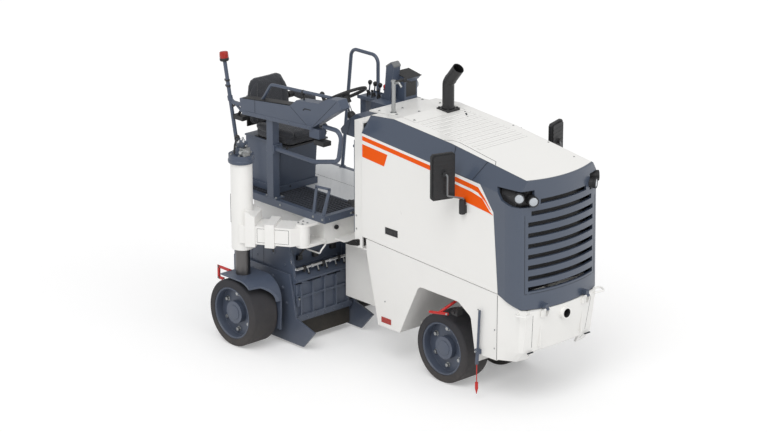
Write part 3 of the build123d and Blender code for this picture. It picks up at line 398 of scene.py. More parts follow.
class Piece:
    """One detail piece, built from the front axle out of simple worked forms."""

    def __init__(self, name, body, slot, *materials, bevel=0.0015):
        self.name, self.body, self.slot, self.materials, self.bevel = name, body, slot, materials, bevel
        self.bm = bmesh.new()
        self.index = 0

    def of(self, index):
        """Chooses the material of the forms that follow."""
        self.index = index
        return self

    def _dress(self, faces, smooth=False):
        for face in faces:
            face.material_index = self.index
            face.smooth = smooth
        return self

    def block(self, corner, opposite):
        corner, opposite = Vector(corner), Vector(opposite)
        size = [abs(s) for s in opposite - corner]
        where = Matrix.Translation((corner + opposite) / 2) @ Matrix.Diagonal((*size, 1))
        made = bmesh.ops.create_cube(self.bm, size=1.0)["verts"]
        bmesh.ops.transform(self.bm, matrix=where, verts=made)
        return self._dress({f for v in made for f in v.link_faces})

    def rod(self, start, stop, d, sides=24):
        start, stop = Vector(start), Vector(stop)
        axis = stop - start
        where = Matrix.Translation((start + stop) / 2) @ axis.to_track_quat("Z", "Y").to_matrix().to_4x4()
        made = bmesh.ops.create_cone(self.bm, cap_ends=True, segments=sides, radius1=d / 2, radius2=d / 2,
                                     depth=axis.length, matrix=where)["verts"]
        return self._dress({f for v in made for f in v.link_faces}, True)

    def ball(self, centre, d, squash=(1, 1, 1)):
        where = Matrix.Translation(Vector(centre)) @ Matrix.Diagonal((*squash, 1))
        made = bmesh.ops.create_uvsphere(self.bm, u_segments=20, v_segments=12, radius=d / 2,
                                         matrix=where)["verts"]
        return self._dress({f for v in made for f in v.link_faces}, True)

    def prism(self, outline, thick):
        """Flat outline of 3-D points, made solid along the vector thick."""
        near = [self.bm.verts.new(Vector(p)) for p in outline]
        far = [self.bm.verts.new(Vector(p) + Vector(thick)) for p in outline]
        faces = [self.bm.faces.new(near), self.bm.faces.new(list(reversed(far)))]
        for i in range(len(near)):
            j = (i + 1) % len(near)
            faces.append(self.bm.faces.new((near[i], far[i], far[j], near[j])))
        self._dress(faces)
        bmesh.ops.recalc_face_normals(self.bm, faces=faces)
        return self

    def pipe(self, points, d, bend=0.02, sides=14):
        """Round bar along points, with its corners bent."""
        path = bend_path(points, bend)
        rings = []
        forward = (path[1] - path[0]).normalized()
        side = forward.orthogonal().normalized()
        for i, p in enumerate(path):
            ahead = path[min(i + 1, len(path) - 1)] - path[max(i - 1, 0)]
            turn = forward.rotation_difference(ahead.normalized())
            forward = ahead.normalized()
            side = (turn @ side).normalized()
            up = forward.cross(side)
            rings.append([self.bm.verts.new(p + spoke(side, up,
                                                      2 * pi * k / sides) * d / 2) for k in range(sides)])
        faces = [self.bm.faces.new(list(reversed(rings[0]))), self.bm.faces.new(rings[-1])]
        for a, b in zip(rings, rings[1:]):
            faces += skin(self.bm, a, b)
        return self._dress(faces, True)

    def turned(self, profile, origin, axis, sides=48):
        """Turned form: (radius, distance along the axis) from one end to the other."""
        axis = Vector(axis).normalized()
        side = axis.orthogonal().normalized()
        up = axis.cross(side)
        origin = Vector(origin)
        rings = []
        for r, h in profile:
            spot = origin + axis * h
            count = 1 if r < 1e-6 else sides
            rings.append([self.bm.verts.new(spot + spoke(side, up,
                                                         2 * pi * k / sides) * r) for k in range(count)])
        faces = []
        for a, b in zip(rings, rings[1:]):
            faces += skin(self.bm, a, b)
        self._dress(faces, True)
        bmesh.ops.recalc_face_normals(self.bm, faces=faces)
        return self

    def done(self, sharp=SHARP_ANGLE, replaces=()):
        """Makes the piece's object, and gives it its body."""
        bmesh.ops.translate(self.bm, verts=self.bm.verts[:], vec=AXLE)
        mesh = bpy.data.meshes.new(self.name)
        self.bm.to_mesh(mesh)
        self.bm.free()
        for material in self.materials:
            mesh.materials.append(material)
        mesh.shade_smooth()
        mesh.set_sharp_from_angle(angle=radians(sharp))
        piece = placed(self.name, mesh)
        if self.bevel:
            edge = piece.modifiers.new("edge", "BEVEL")
            edge.width = self.bevel
            edge.segments = 2
            edge.limit_method = "ANGLE"
            edge.angle_limit = radians(40)
        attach(piece, self.body)
        if replaces:
            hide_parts(*replaces)


# ---------------------------------------------------------------- repeated forms
GEOMETRY_SOCKETS = {"value": "NodeSocketFloat", "count": "NodeSocketInt", "vector": "NodeSocketVector",
                    "material": "NodeSocketMaterial"}
WASHER_SIDES = 16
WASHER_SHARE = 0.3      # a washer's thickness as a share of its head's height


def geometry_tree(name, inputs):
    """Geometry node tree with a geometry input, named inputs and a material."""
    tree = bpy.data.node_groups.new(name, "GeometryNodeTree")
    tree.interface.new_socket("Geometry", in_out="INPUT", socket_type="NodeSocketGeometry")
    for label, kind in inputs + [("Material", "material")]:
        tree.interface.new_socket(label, in_out="INPUT", socket_type=GEOMETRY_SOCKETS[kind])
    tree.interface.new_socket("Geometry", in_out="OUTPUT", socket_type="NodeSocketGeometry")
    return tree, tree.nodes.new("NodeGroupInput").outputs


def close_tree(tree, given, points, instance, **inputs):
    """Puts the instance on the points, makes the result plain and gives it its material."""
    rows = add(tree, "GeometryNodeInstanceOnPoints", {"Points": points, "Instance": instance, **inputs})
    solid = add(tree, "GeometryNodeRealizeInstances", {"Geometry": rows.outputs[0]})
    painted = add(tree, "GeometryNodeSetMaterial",
                  {"Geometry": solid.outputs[0], "Material": given["Material"]})
    tree.links.new(painted.outputs[0], tree.nodes.new("NodeGroupOutput").inputs[0])
    return tree


def make_screw_tree():
    """Hexagon heads on round washers, one on each point, facing along the point's own direction."""
    tree, given = geometry_tree("screw_rows", [("Across", "value"), ("Height", "value"), ("Washer", "value"),
                                               ("Sides", "count")])
    height = given["Height"]
    head = add(tree, "GeometryNodeMeshCylinder", {
        "Vertices": given["Sides"], "Radius": maths(tree, "MULTIPLY", given["Across"], 0.5), "Depth": height})
    rise = add(tree, "ShaderNodeCombineXYZ", {"Z": maths(tree, "MULTIPLY", height, 0.5)})
    head = add(tree, "GeometryNodeTransform",
               {"Geometry": head.outputs["Mesh"], "Translation": rise.outputs[0]})
    washer = add(tree, "GeometryNodeMeshCylinder", {
        "Vertices": WASHER_SIDES, "Radius": maths(tree, "MULTIPLY", given["Washer"], 0.5),
        "Depth": maths(tree, "MULTIPLY", height, WASHER_SHARE)})
    both = tree.nodes.new("GeometryNodeJoinGeometry")
    tree.links.new(head.outputs[0], both.inputs[0])
    tree.links.new(washer.outputs["Mesh"], both.inputs[0])
    facing = add(tree, "GeometryNodeInputNamedAttribute", {"Name": "facing"}, data_type="FLOAT_VECTOR")
    turn = add(tree, "FunctionNodeAlignRotationToVector", {"Vector": facing.outputs[0]}, axis="Z")
    return close_tree(tree, given, given["Geometry"], both.outputs[0], Rotation=turn.outputs[0])


def make_bar_tree():
    """Row of equal bars, one step apart."""
    tree, given = geometry_tree("bar_rows", [("Size", "vector"), ("Step", "vector"), ("Count", "count")])
    bar = add(tree, "GeometryNodeMeshCube", {"Size": given["Size"]})
    line = add(tree, "GeometryNodeMeshLine", {"Count": given["Count"], "Offset": given["Step"]})
    row = add(tree, "GeometryNodeInstanceOnPoints",
              {"Points": line.outputs[0], "Instance": bar.outputs["Mesh"]})
    return close_tree(tree, given, given["Geometry"], row.outputs[0])


def make_tread_tree():
    """Raised lens-shaped treads of tread plate, every other one turned by a right angle."""
    tree, given = geometry_tree("tread_rows", [("Length", "value"), ("Width", "value"), ("Height", "value"),
                                               ("Columns", "count"), ("Rows", "count"), ("Pitch", "value")])
    rows = given["Rows"]
    lens = add(tree, "GeometryNodeMeshUVSphere", {"Segments": 8, "Rings": 4, "Radius": 0.5})
    size = add(tree, "ShaderNodeCombineXYZ",
               {"X": given["Length"], "Y": given["Width"], "Z": given["Height"]})
    lens = add(tree, "GeometryNodeTransform", {"Geometry": lens.outputs["Mesh"], "Scale": size.outputs[0]})
    wide, long = [maths(tree, "MULTIPLY", maths(tree, "SUBTRACT", given[label], 1.0), given["Pitch"])
                  for label in ("Columns", "Rows")]
    grid = add(tree, "GeometryNodeMeshGrid", {
        "Size X": wide, "Size Y": long, "Vertices X": given["Columns"], "Vertices Y": rows})
    index = tree.nodes.new("GeometryNodeInputIndex").outputs[0]
    column = maths(tree, "FLOOR", maths(tree, "DIVIDE", index, rows))
    odd = maths(tree, "MODULO", maths(tree, "ADD", column, maths(tree, "MODULO", index, rows)), 2.0)
    turn = add(tree, "ShaderNodeCombineXYZ", {"Z": maths(tree, "MULTIPLY_ADD", odd, pi / 2, pi / 4)})
    field = add(tree, "GeometryNodeInstanceOnPoints", {
        "Points": grid.outputs["Mesh"], "Instance": lens.outputs[0], "Rotation": turn.outputs[0]})
    return close_tree(tree, given, given["Geometry"], field.outputs[0])


SCREWS, BARS, TREADS = make_screw_tree(), make_bar_tree(), make_tread_tree()


def repeated(name, body, slot, tree, points, facing=None, **inputs):
    """Plain mesh of a repeated form on points measured from the front axle."""
    mesh = bpy.data.meshes.new(name + "_points")
    mesh.from_pydata([Vector(p) + AXLE for p in points], [], [])
    if facing is not None:
        ways = mesh.attributes.new("facing", "FLOAT_VECTOR", "POINT")
        for item in ways.data:
            item.vector = Vector(facing).normalized()
    seed = placed(name + "_points", mesh)
    rows = seed.modifiers.new("rows", "NODES")
    rows.node_group = tree
    for item in tree.interface.items_tree:
        if item.item_type == "SOCKET" and item.in_out == "INPUT" and item.name in inputs:
            rows[item.identifier] = inputs[item.name]
    seed.update_tag()
    depsgraph = bpy.context.evaluated_depsgraph_get()
    made = bpy.data.meshes.new_from_object(seed.evaluated_get(depsgraph))
    bpy.data.objects.remove(seed)
    made.name = name
    made.shade_smooth()
    made.set_sharp_from_angle(angle=radians(SHARP_ANGLE))
    piece = placed(name, made)
    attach(piece, body)


def screws(name, body, points, facing, across=0.017, height=0.008, washer=0.026, material=ZINC,
           slot="bare_steel"):
    """Row of hexagon heads that all face one way."""
    repeated(name, body, slot, SCREWS, points, facing, Across=across, Height=height, Washer=washer, Sides=6,
             Material=material)


def ring(centre, axis, radius, count, start=0.0):
    """Points on a circle round an axis."""
    axis = Vector(axis).normalized()
    side = axis.orthogonal().normalized() if abs(axis.z) > 0.9 else Vector((0, 0, 1)).cross(axis).normalized()
    up = axis.cross(side)
    return [Vector(centre) + spoke(side, up, start + 2 * pi * k / count) * radius for k in range(count)]


def strip(piece, points, side_vector, width, lift):
    """Flat ribbon a hair above a surface: points along it, the way it is wide, and the way it stands off."""
    wide, off = Vector(side_vector).normalized() * width / 2, Vector(lift)
    for p, q in zip(points, points[1:]):
        p, q = Vector(p), Vector(q)
        piece.prism([p - wide, q - wide, q + wide, p + wide], off)


LINE_LIFT = 0.0008      # how thick a drawn line is
LINE_SINK = 0.0004      # how far it starts below the surface


def surface_line(piece, node, starts, way, width):
    """Ribbon laid on a node's surface, through the points where rays from the starts meet it."""
    hits = []
    for start in starts:
        found, spot, normal, _ = NODES[node].ray_cast(Vector(start) + AXLE, Vector(way))
        if found:
            hits.append((spot - AXLE, normal))
    for (p, n), (q, m) in zip(hits, hits[1:]):
        wide = (q - p).cross(n).normalized() * width / 2
        low, high = n * LINE_SINK, m * LINE_SINK
        piece.prism([p - wide - low, q - wide - high, q + wide - high, p + wide - low], n * LINE_LIFT)


# ---------------------------------------------------------------- wheels
RIM_DISC_DEPTH = 0.078      # from a wheel's outer face in to the rim's disc
NUT_RING = 0.152            # radius of the wheel nuts' ring


def make_wheel_details():
    """Wheel nuts on the rims' discs, the rolled lips of the rims and the raised hub caps."""
    for end, x in (("front", 0.0), ("rear", -WHEELBASE)):
        for out, word in SIDES:
            name = end + "_" + word
            body, axis = "wheel_" + name, (0, out, 0)
            face = middle(name + "_tyre").y - AXLE.y + out * WHEEL_HALF
            nuts = ring((x, face - out * RIM_DISC_DEPTH, WHEEL_Z), axis, NUT_RING, 6, radians(30))
            screws(name + "_wheel_nuts", body, nuts, axis, across=0.032, height=0.022, washer=0.044)
            trim = Piece(name + "_rim_lip", body, "slate_metal", SLATE, bevel=0)
            trim.turned([(0.2005, -0.06), (0.1985, -0.014), (0.201, -0.006), (0.2065, -0.001),
                         (0.2125, -0.0035), (0.2140, -0.0045)], (x, face, WHEEL_Z), axis, 72)
            trim.turned([(0.060, -0.0255), (0.060, -0.0225), (0.056, -0.0215), (0.0, -0.0215)],
                        (x, face, WHEEL_Z), axis)
            trim.done()


# ---------------------------------------------------------------- seat
VOXEL = 0.007       # size of a pad's mesh before it swells
SWELL_FRAMES = 20


def swell(pad, pressure, cap):
    """Swells a closed pad with cloth under pressure, with a limit on how far each point moves."""
    scene = bpy.context.scene
    remesh = pad.modifiers.new("voxels", "REMESH")
    remesh.mode = "VOXEL"
    remesh.voxel_size = VOXEL
    depsgraph = bpy.context.evaluated_depsgraph_get()
    mesh = bpy.data.meshes.new_from_object(pad.evaluated_get(depsgraph))
    pad.modifiers.clear()
    pad.data = mesh
    rest = [v.co.copy() for v in mesh.vertices]
    cloth = pad.modifiers.new("cloth", "CLOTH")
    cloth.settings.use_pressure = True
    cloth.settings.uniform_pressure_force = pressure
    cloth.settings.effector_weights.gravity = 0
    cloth.settings.quality = 5
    cloth.point_cache.frame_start = 1
    cloth.point_cache.frame_end = SWELL_FRAMES
    for step in range(1, SWELL_FRAMES + 1):
        scene.frame_set(step)
    depsgraph = bpy.context.evaluated_depsgraph_get()
    swollen = pad.evaluated_get(depsgraph).to_mesh()
    for vertex, moved, start in zip(mesh.vertices, swollen.vertices, rest):
        move = moved.co - start
        if move.length > cap:
            move = move.normalized() * cap
        vertex.co = start + move
    pad.modifiers.clear()
    scene.frame_set(1)


def make_pad(name, stations, around=20):
    """Closed pad lofted through rounded sections: (centre, half width, half height, how square it is)."""
    bm = bmesh.new()
    rings = []
    for centre, wide, high, power in stations:
        rings.append([])
        for k in range(around):
            angle = 2 * pi * k / around
            c, s = cos(angle), sin(angle)
            u = abs(c) ** (2 / power) * (1 if c >= 0 else -1)
            v = abs(s) ** (2 / power) * (1 if s >= 0 else -1)
            rings[-1].append(bm.verts.new(Vector(centre) + Vector(wide) * u + Vector(high) * v + AXLE))
    bm.faces.new(list(reversed(rings[0])))
    bm.faces.new(rings[-1])
    for a, b in zip(rings, rings[1:]):
        skin(bm, a, b)
    bmesh.ops.recalc_face_normals(bm, faces=bm.faces[:])
    mesh = bpy.data.meshes.new(name)
    bm.to_mesh(mesh)
    bm.free()
    mesh.materials.append(FABRIC)
    mesh.shade_smooth()
    return placed(name, mesh)


def finish_pad(pad, node):
    for polygon in pad.data.polygons:
        polygon.use_smooth = True
    round_off = pad.modifiers.new("round", "SUBSURF")
    round_off.levels = 1
    round_off.render_levels = 1
    if not pad.data.materials:
        pad.data.materials.append(FABRIC)
    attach(pad, "machine")
    if node:
        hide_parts(node)


def make_cushion():
    """Cushion with a flat middle, raised side bolsters and a rolled front edge."""
    low, high = span("seat_cushion")
    top, mid_y, half = high.z, (low.y + high.y) / 2, (high.y - low.y) / 2
    stations = []
    for x, sink, squeeze in ((low.x + 0.012, 0.012, 0.82), (low.x + 0.05, 0.004, 0.94),
                             (low.x + 0.16, 0.0, 0.97), (high.x - 0.14, 0.0, 0.98),
                             (high.x - 0.05, 0.008, 0.96), (high.x - 0.014, 0.026, 0.86)):
        z_top, z_low = top - sink - 0.022, low.z + 0.006 + sink * 0.3
        stations.append(((x, mid_y, (z_top + z_low) / 2), (0, half * squeeze, 0),
                         (0, 0, (z_top - z_low) / 2), 5.0))
    cushion = make_pad("cushion_cover", stations, 28)
    swell(cushion, 4.0, 0.012)
    finish_pad(cushion, "seat_cushion")
    for side, word in SIDES:
        y = mid_y + side * (half - 0.052)
        stations = []
        for share, size in ((0.05, 0.35), (0.12, 0.85), (0.35, 1.0), (0.7, 1.0), (0.9, 0.9), (0.97, 0.4)):
            x = low.x + (high.x - low.x) * share
            stations.append(((x, y, top - 0.026), (0, 0.046 * size, 0), (0, 0, 0.036 * size), 2.6))
        finish_pad(make_pad("cushion_bolster_" + word, stations), None)


def make_back():
    """Tilted back pad with its side bolsters."""
    low, high = span("seat_back")
    lean = radians(5)
    up = Vector((-sin(lean), 0, cos(lean)))
    out = Vector((cos(lean), 0, sin(lean)))
    centre = (low + high) / 2
    half = (high.y - low.y) / 2
    stations = []
    for height, width, thick in ((-0.195, 0.80, 0.55), (-0.17, 0.93, 0.85), (-0.08, 0.98, 1.0),
                                 (0.05, 0.97, 1.0), (0.13, 0.90, 0.92), (0.175, 0.78, 0.75),
                                 (0.193, 0.6, 0.5)):
        stations.append((centre + up * height - out * 0.004, (0, half * width, 0), out * 0.034 * thick, 4.0))
    back = make_pad("back_cover", stations, 28)
    swell(back, 4.0, 0.010)
    finish_pad(back, "seat_back")
    for side, word in SIDES:
        stations = []
        for height, size, inset in ((-0.18, 0.4, 0.05), (-0.15, 0.85, 0.045), (-0.02, 1.0, 0.042),
                                    (0.08, 0.95, 0.052), (0.135, 0.6, 0.075), (0.155, 0.3, 0.09)):
            spot = centre + up * height + out * 0.022 + Vector((0, side * (half - inset), 0))
            stations.append((spot, (0, 0.038 * size, 0), out * 0.028 * size, 2.4))
        finish_pad(make_pad("back_bolster_" + word, stations), None)


def make_arm_rest():
    """Arm rest with its hinge, the back's side plate and the plate under the cushion."""
    low, high = span("seat_armrest")
    z = (low.z + high.z) / 2
    stations = []
    for share, size in ((0.02, 0.5), (0.08, 0.9), (0.4, 1.0), (0.8, 1.0), (0.95, 0.85), (0.995, 0.45)):
        x = low.x + (high.x - low.x) * share
        stations.append(((x, 0.031, z), (0, 0.030 * size, 0), (0, 0, 0.033 * size), 3.2))
    finish_pad(make_pad("arm_rest_pad", stations, 24), "seat_armrest")
    bracket = Piece("arm_rest_hinge", "machine", "black_plastic", PLASTIC, BLACK)
    bracket.rod((-2.212, -0.045, z), (-2.212, 0.004, z), 0.055)
    bracket.block((-2.262, -0.452, 1.60), (-2.250, -0.048, 1.86))
    bracket.of(1).block((-2.16, -0.455, 1.531), (-1.72, -0.045, 1.545))
    bracket.done()


def make_piping():
    """Piping along the bolsters, and across the cushion's front edge for the width of the back."""
    low, high = span("seat_cushion")
    top, mid_y = high.z, (low.y + high.y) / 2
    back_low, back_high = span("seat_back")
    back_half = (back_high.y - back_low.y) / 2
    seams = Piece("seat_seams", "machine", "seat_fabric", PIPING, bevel=0)
    for side in (-1, 1):
        y = mid_y + side * 0.142
        seams.pipe([(low.x + 0.03, y, top - 0.022), (low.x + 0.12, y, top - 0.010),
                    (high.x - 0.10, y, top - 0.010), (high.x - 0.022, y, top - 0.036),
                    (high.x - 0.006, y, top - 0.075)], 0.007, 0.03, 8)
    seams.pipe([(high.x - 0.012, mid_y - back_half + 0.02, top - 0.062),
                (high.x - 0.002, mid_y - 0.1, top - 0.058), (high.x - 0.002, mid_y + 0.1, top - 0.058),
                (high.x - 0.012, mid_y + back_half - 0.02, top - 0.062)], 0.007, 0.05, 8)
    seams.done()


# ---------------------------------------------------------------- mirrors, lamps, beacon
def make_mirrors():
    """Mirror shells with ribbed backs and glass, their arms and the clamps on the hood's sides."""
    for side, word in SIDES:
        middle_y = side * (HOOD_HALF + 0.162)
        turn = Matrix.Rotation(radians(side * 17.5), 3, "Z")
        centre = Vector((0.211, middle_y, 1.782))
        shell = Piece("mirror_" + word, "hood", "black_plastic", PLASTIC, MIRROR_GLASS, GREY_PLASTIC,
                      bevel=0.004)

        def at(x, y, z):
            return centre + turn @ Vector((x, y, z))

        # bowed back, ribs across it, and glass set in the rear face
        outline = [(-0.099, -0.165), (-0.082, -0.182), (0.082, -0.182), (0.099, -0.165), (0.099, 0.165),
                   (0.082, 0.182), (-0.082, 0.182), (-0.099, 0.165)]
        shell.prism([at(-0.019, y, z) for y, z in outline], turn @ Vector((0.026, 0, 0)))
        shell.prism([at(0.007, y * 0.88, z * 0.93) for y, z in outline], turn @ Vector((0.012, 0, 0)))
        for k in range(9):
            z = -0.13 + k * 0.0325
            shell.prism([at(0.0185, -0.082, z - 0.005), at(0.0185, 0.082, z - 0.005),
                         at(0.0185, 0.082, z + 0.005), at(0.0185, -0.082, z + 0.005)],
                        turn @ Vector((0.002, 0, 0)))
        shell.of(1).prism([at(-0.0195, y * 0.9, z * 0.94) for y, z in outline], turn @ Vector((0.0006, 0, 0)))
        foot = side * (HOOD_HALF + 0.026)
        shell.of(2).pipe([at(0.018, 0, 0.03), (0.262, middle_y, 1.80), (0.262, middle_y, 1.64),
                          (0.300, foot, 1.60), (0.285, foot, 1.56)], 0.014, 0.016)
        shell.of(0).rod(at(0.016, 0, 0.028), at(0.040, 0, 0.028), 0.040)
        shell.turned([(0.0, 0.0), (0.024, 0.0), (0.026, 0.006), (0.026, 0.106), (0.022, 0.115),
                      (0.010, 0.117), (0.0, 0.117)], (0.285, foot, 1.474), (0, 0, 1), 32)
        shell.block((0.262, side * (HOOD_HALF + 0.0002), 1.480), (0.308, foot, 1.540))
        shell.done(replaces=("hood_mirrors",) if side < 0 else ())


def make_lamps():
    """Housing rim, reflector and lens of the four work lamps."""
    # x, y and z of each right-hand lamp's middle, and its turn from straight ahead
    for place, x, y, z, turn in (("outer", 0.818, -0.408, 1.712, -50), ("inner", 0.874, -0.326, 1.684, -30)):
        for side, word in ((1, "right"), (-1, "left")):
            centre = Vector((x, side * y, z))
            aim = Vector((cos(radians(turn)), side * sin(radians(turn)), 0))
            lamp = Piece("lamp_face_%s_%s" % (place, word), "hood", "lens", PLASTIC, LENS, CHROME, bevel=0)
            face = centre + aim * 0.026
            lamp.turned([(0.0385, -0.02), (0.0415, -0.012), (0.0415, 0.004), (0.038, 0.007), (0.034, 0.004),
                         (0.0335, -0.002)], face, aim, 40)
            lamp.of(2).turned([(0.0335, 0.001), (0.031, -0.0005), (0.012, -0.0005), (0.0, -0.0005)], face,
                              aim, 40)
            lamp.of(1).turned([(0.0338, 0.0012), (0.028, 0.0045), (0.015, 0.0065), (0.0, 0.007)], face, aim,
                              40)
            lamp.done(sharp=30)


def make_beacon():
    """Beacon with a black foot and a ribbed red lens, in line with its leaning pole."""
    base = Vector((-2.352, -0.600, span("beacon_lamp")[0].z))
    axis = Vector((-0.010, 0, 0.084)).normalized()
    beacon = Piece("beacon", "machine", "red_lens", RED_LENS, PLASTIC, bevel=0)
    beacon.of(1).turned([(0.0, 0.0), (0.030, 0.0), (0.036, 0.004), (0.0385, 0.010), (0.0385, 0.022),
                         (0.036, 0.026), (0.0, 0.026)], base, axis)
    beacon.of(0).turned([(0.0350, 0.024), (0.0365, 0.030), (0.0360, 0.068), (0.0345, 0.075), (0.030, 0.079),
                         (0.014, 0.081), (0.0, 0.082)], base, axis)
    for k in range(16):
        angle = 2 * pi * k / 16
        side = Vector((cos(angle), sin(angle), 0)) * 0.0365
        beacon.rod(base + side + axis * 0.030, base + side * 0.97 + axis * 0.062, 0.0022, 6)
    beacon.done(replaces=("beacon_lamp",))


# ---------------------------------------------------------------- hood
def make_hood_films():
    """Orange film stripes on the hood's sides; the wide one is left bare where lettering would go."""
    # x with the top and bottom heights of each stripe's stations, from the rear to the front
    narrow = [(-0.862, 1.828, 1.793), (0.155, 1.742, 1.704), (0.36, 1.720, 1.683), (0.425, 1.712, 1.670),
              (0.50, 1.640, 1.618), (0.560, 1.568, 1.560)]
    wide_rear = [(-0.862, 1.762, 1.658), (-0.612, 1.742, 1.636), (-0.574, 1.738, 1.7375)]
    wide_front = [(0.02, 1.697, 1.590), (0.36, 1.660, 1.558), (0.470, 1.634, 1.545), (0.545, 1.556, 1.536),
                  (0.585, 1.530, 1.528)]
    for side, word in SIDES:
        face = side * (HOOD_HALF + 0.0003)
        film = Piece("side_stripes_" + word, "hood", "white_shell", ORANGE, bevel=0)
        for stations in (narrow, wide_rear, wide_front):
            for (x0, top0, low0), (x1, top1, low1) in zip(stations, stations[1:]):
                film.prism([(x0, face, top0), (x1, face, top1), (x1, face, low1), (x0, face, low0)],
                           (0, side * 0.0008, 0))
        film.done()


def make_latches():
    """Sunk latch of each side door, with its flap and lock."""
    for side, word in SIDES:
        face = side * HOOD_HALF
        latch = Piece("hood_latch_" + word, "hood", "black_plastic", PLASTIC, BLACK, bevel=0.002)
        latch.block((-0.600, face, 1.087), (-0.458, face - side * 0.007, 1.141))
        latch.of(1).block((-0.588, face - side * 0.004, 1.098), (-0.512, face + side * 0.0015, 1.130))
        latch.rod((-0.485, face - side * 0.004, 1.114), (-0.485, face + side * 0.002, 1.114), 0.026)
        latch.done()


# ---------------------------------------------------------------- operator's floor
CROSS_PITCH, LONG_PITCH = 0.032, 0.038      # between the grating's bars
TREAD_PITCH = 0.026


def make_floor():
    """Bars of the grating, flat steel on the step's loop, and the treads of the tread plate."""
    low, high = span("floor_grating")
    repeated("grating_cross_bars", "machine", "black_metal", BARS,
             [(low.x + 0.02, (low.y + high.y) / 2, high.z + 0.002)], Size=(0.005, high.y - low.y, 0.012),
             Step=(CROSS_PITCH, 0, 0), Count=int((high.x - low.x) / CROSS_PITCH), Material=GRATING)
    repeated("grating_long_bars", "machine", "black_metal", BARS,
             [((low.x + high.x) / 2, low.y + 0.03, high.z + 0.001)], Size=(high.x - low.x, 0.005, 0.012),
             Step=(0, LONG_PITCH, 0), Count=int((high.y - low.y) / LONG_PITCH), Material=GRATING)
    low, high = span("chequer_plate")
    foot, face = low.z + 0.010, span("platform_frame")[0].y + 0.007
    loop = Piece("step_loop_flats", "machine", "slate_metal", SLATE, bevel=0.0008)
    for points, way, width in (([(-1.300, face, foot), (-1.262, face, 1.345)], (1, 0, 0), 0.026),
                               ([(-1.275, face, 1.345), (-1.092, face, 1.360)], (0, 0, 1), 0.022),
                               ([(-1.106, face, 1.360), (-1.192, face, foot)], (1, 0, 0), 0.026)):
        strip(loop, points, way, width, (0, -0.005, 0))
    loop.done()
    columns, rows = int((high.x - low.x) / TREAD_PITCH), int((high.y - low.y) / TREAD_PITCH)
    repeated("tread_plate_treads", "machine", "checker_aluminium", TREADS,
             [((low.x + high.x) / 2, (low.y + high.y) / 2, high.z)], Length=0.026, Width=0.007, Height=0.003,
             Columns=columns, Rows=rows, Pitch=TREAD_PITCH, Material=TREAD_PLATE)


def make_cowl_lines():
    """Fold lines round the slots of the cowl, and the seams of the bumper's front."""
    lines = Piece("cowl_frame_line", "hood", "slate_shell", SEAM_SHADE, bevel=0)
    for side in (-1, 1):
        starts = [(1.2, side * 0.378, 0.952 + k * 0.062) for k in range(11)]
        surface_line(lines, "hood_cowl", starts, (-1, 0, 0), 0.004)
    surface_line(lines, "hood_cowl", [(1.2, -0.378 + k * 0.054, 0.948) for k in range(15)], (-1, 0, 0), 0.004)
    lines.done()
    seams = Piece("bumper_front_seams", "machine", "white_metal", SEAM_SHADE, bevel=0)
    for side in (-1, 1):
        surface_line(seams, "front_bumper",
                     [(1.2, side * (0.318 - k * 0.004), 0.775 - k * 0.045) for k in range(9)], (-1, 0, 0),
                     0.003)
    seams.done()


def crest(x):
    """Height of the hood's white top."""
    stations = [(-0.9, 1.973), (-0.606, 2.0), (0.04, 1.947), (0.95, 1.822)]
    for (x0, z0), (x1, z1) in zip(stations, stations[1:]):
        if x <= x1:
            return z0 + (z1 - z0) * (x - x0) / (x1 - x0)
    return stations[-1][1]


def make_hood_lines():
    """Seams, pressed ribs and screws of the hood's top."""
    lines = Piece("hood_top_seams", "hood", "white_shell", SEAM_SHADE, WHITE_SHELL, bevel=0)
    hair = (0, 0, 0.0007)
    # removable panel along the right edge, with cut corners
    path = [(-0.05, -0.350), (-0.01, -0.300), (0.06, -0.285), (0.46, -0.300), (0.505, -0.350)]
    for (x0, y0), (x1, y1) in zip(path, path[1:]):
        a, b = Vector((x0, y0, crest(x0) + 0.0003)), Vector((x1, y1, crest(x1) + 0.0003))
        wide = (b - a).cross(Vector((0, 0, 1))).normalized() * 0.0018
        lines.prism([a - wide, b - wide, b + wide, a + wide], hair)
    # pressed cross ribs of the top
    lines.of(1)
    for k in range(11):
        x = -0.40 + k * 0.062
        z0, z1 = crest(x - 0.014), crest(x + 0.014)
        lines.prism([(x - 0.014, -0.255, z0), (x, -0.255, (z0 + z1) / 2 + 0.0045), (x + 0.014, -0.255, z1)],
                    (0, 0.525, 0))
    # slot beside the deck's corner, drawn flat in painted shade
    lines.of(0).prism([(-0.425, 0.235, crest(-0.425) + 0.0004), (-0.330, 0.165, crest(-0.33) + 0.0004),
                       (-0.322, 0.176, crest(-0.322) + 0.0004), (-0.417, 0.246, crest(-0.417) + 0.0004)],
                      (0, 0, 0.001))
    lines.done()
    screws("hood_top_screws", "hood", [(0.02, 0.33, crest(0.02)), (0.40, 0.33, crest(0.40)),
                                       (0.70, 0.30, crest(0.70))], (0.1, 0, 1), across=0.012, height=0.003,
           washer=0.016)


def make_side_lines():
    """Seams of the slate panel on each shoulder: along its fold, and up to the edge of the white top."""
    for side, word in SIDES:
        face, slope, crown = side * 0.4522, side * 0.4525, side * 0.3535
        seam = Piece("shoulder_seam_" + word, "hood", "slate_shell", SEAM_SHADE, bevel=0)
        strip(seam, [(0.13, face, 1.772), (0.36, face, 1.752)], (0, 0, 1), 0.003, (0, side * 0.0007, 0))
        for x0, z0, x1, z1 in ((0.13, 1.774, 0.085, 1.9415), (0.36, 1.753, 0.43, 1.894)):
            strip(seam, [(x0, slope, z0), (x1, crown, z1)], (1, 0, 0), 0.003, (0, side * 0.0012, 0.0008))
        seam.done()


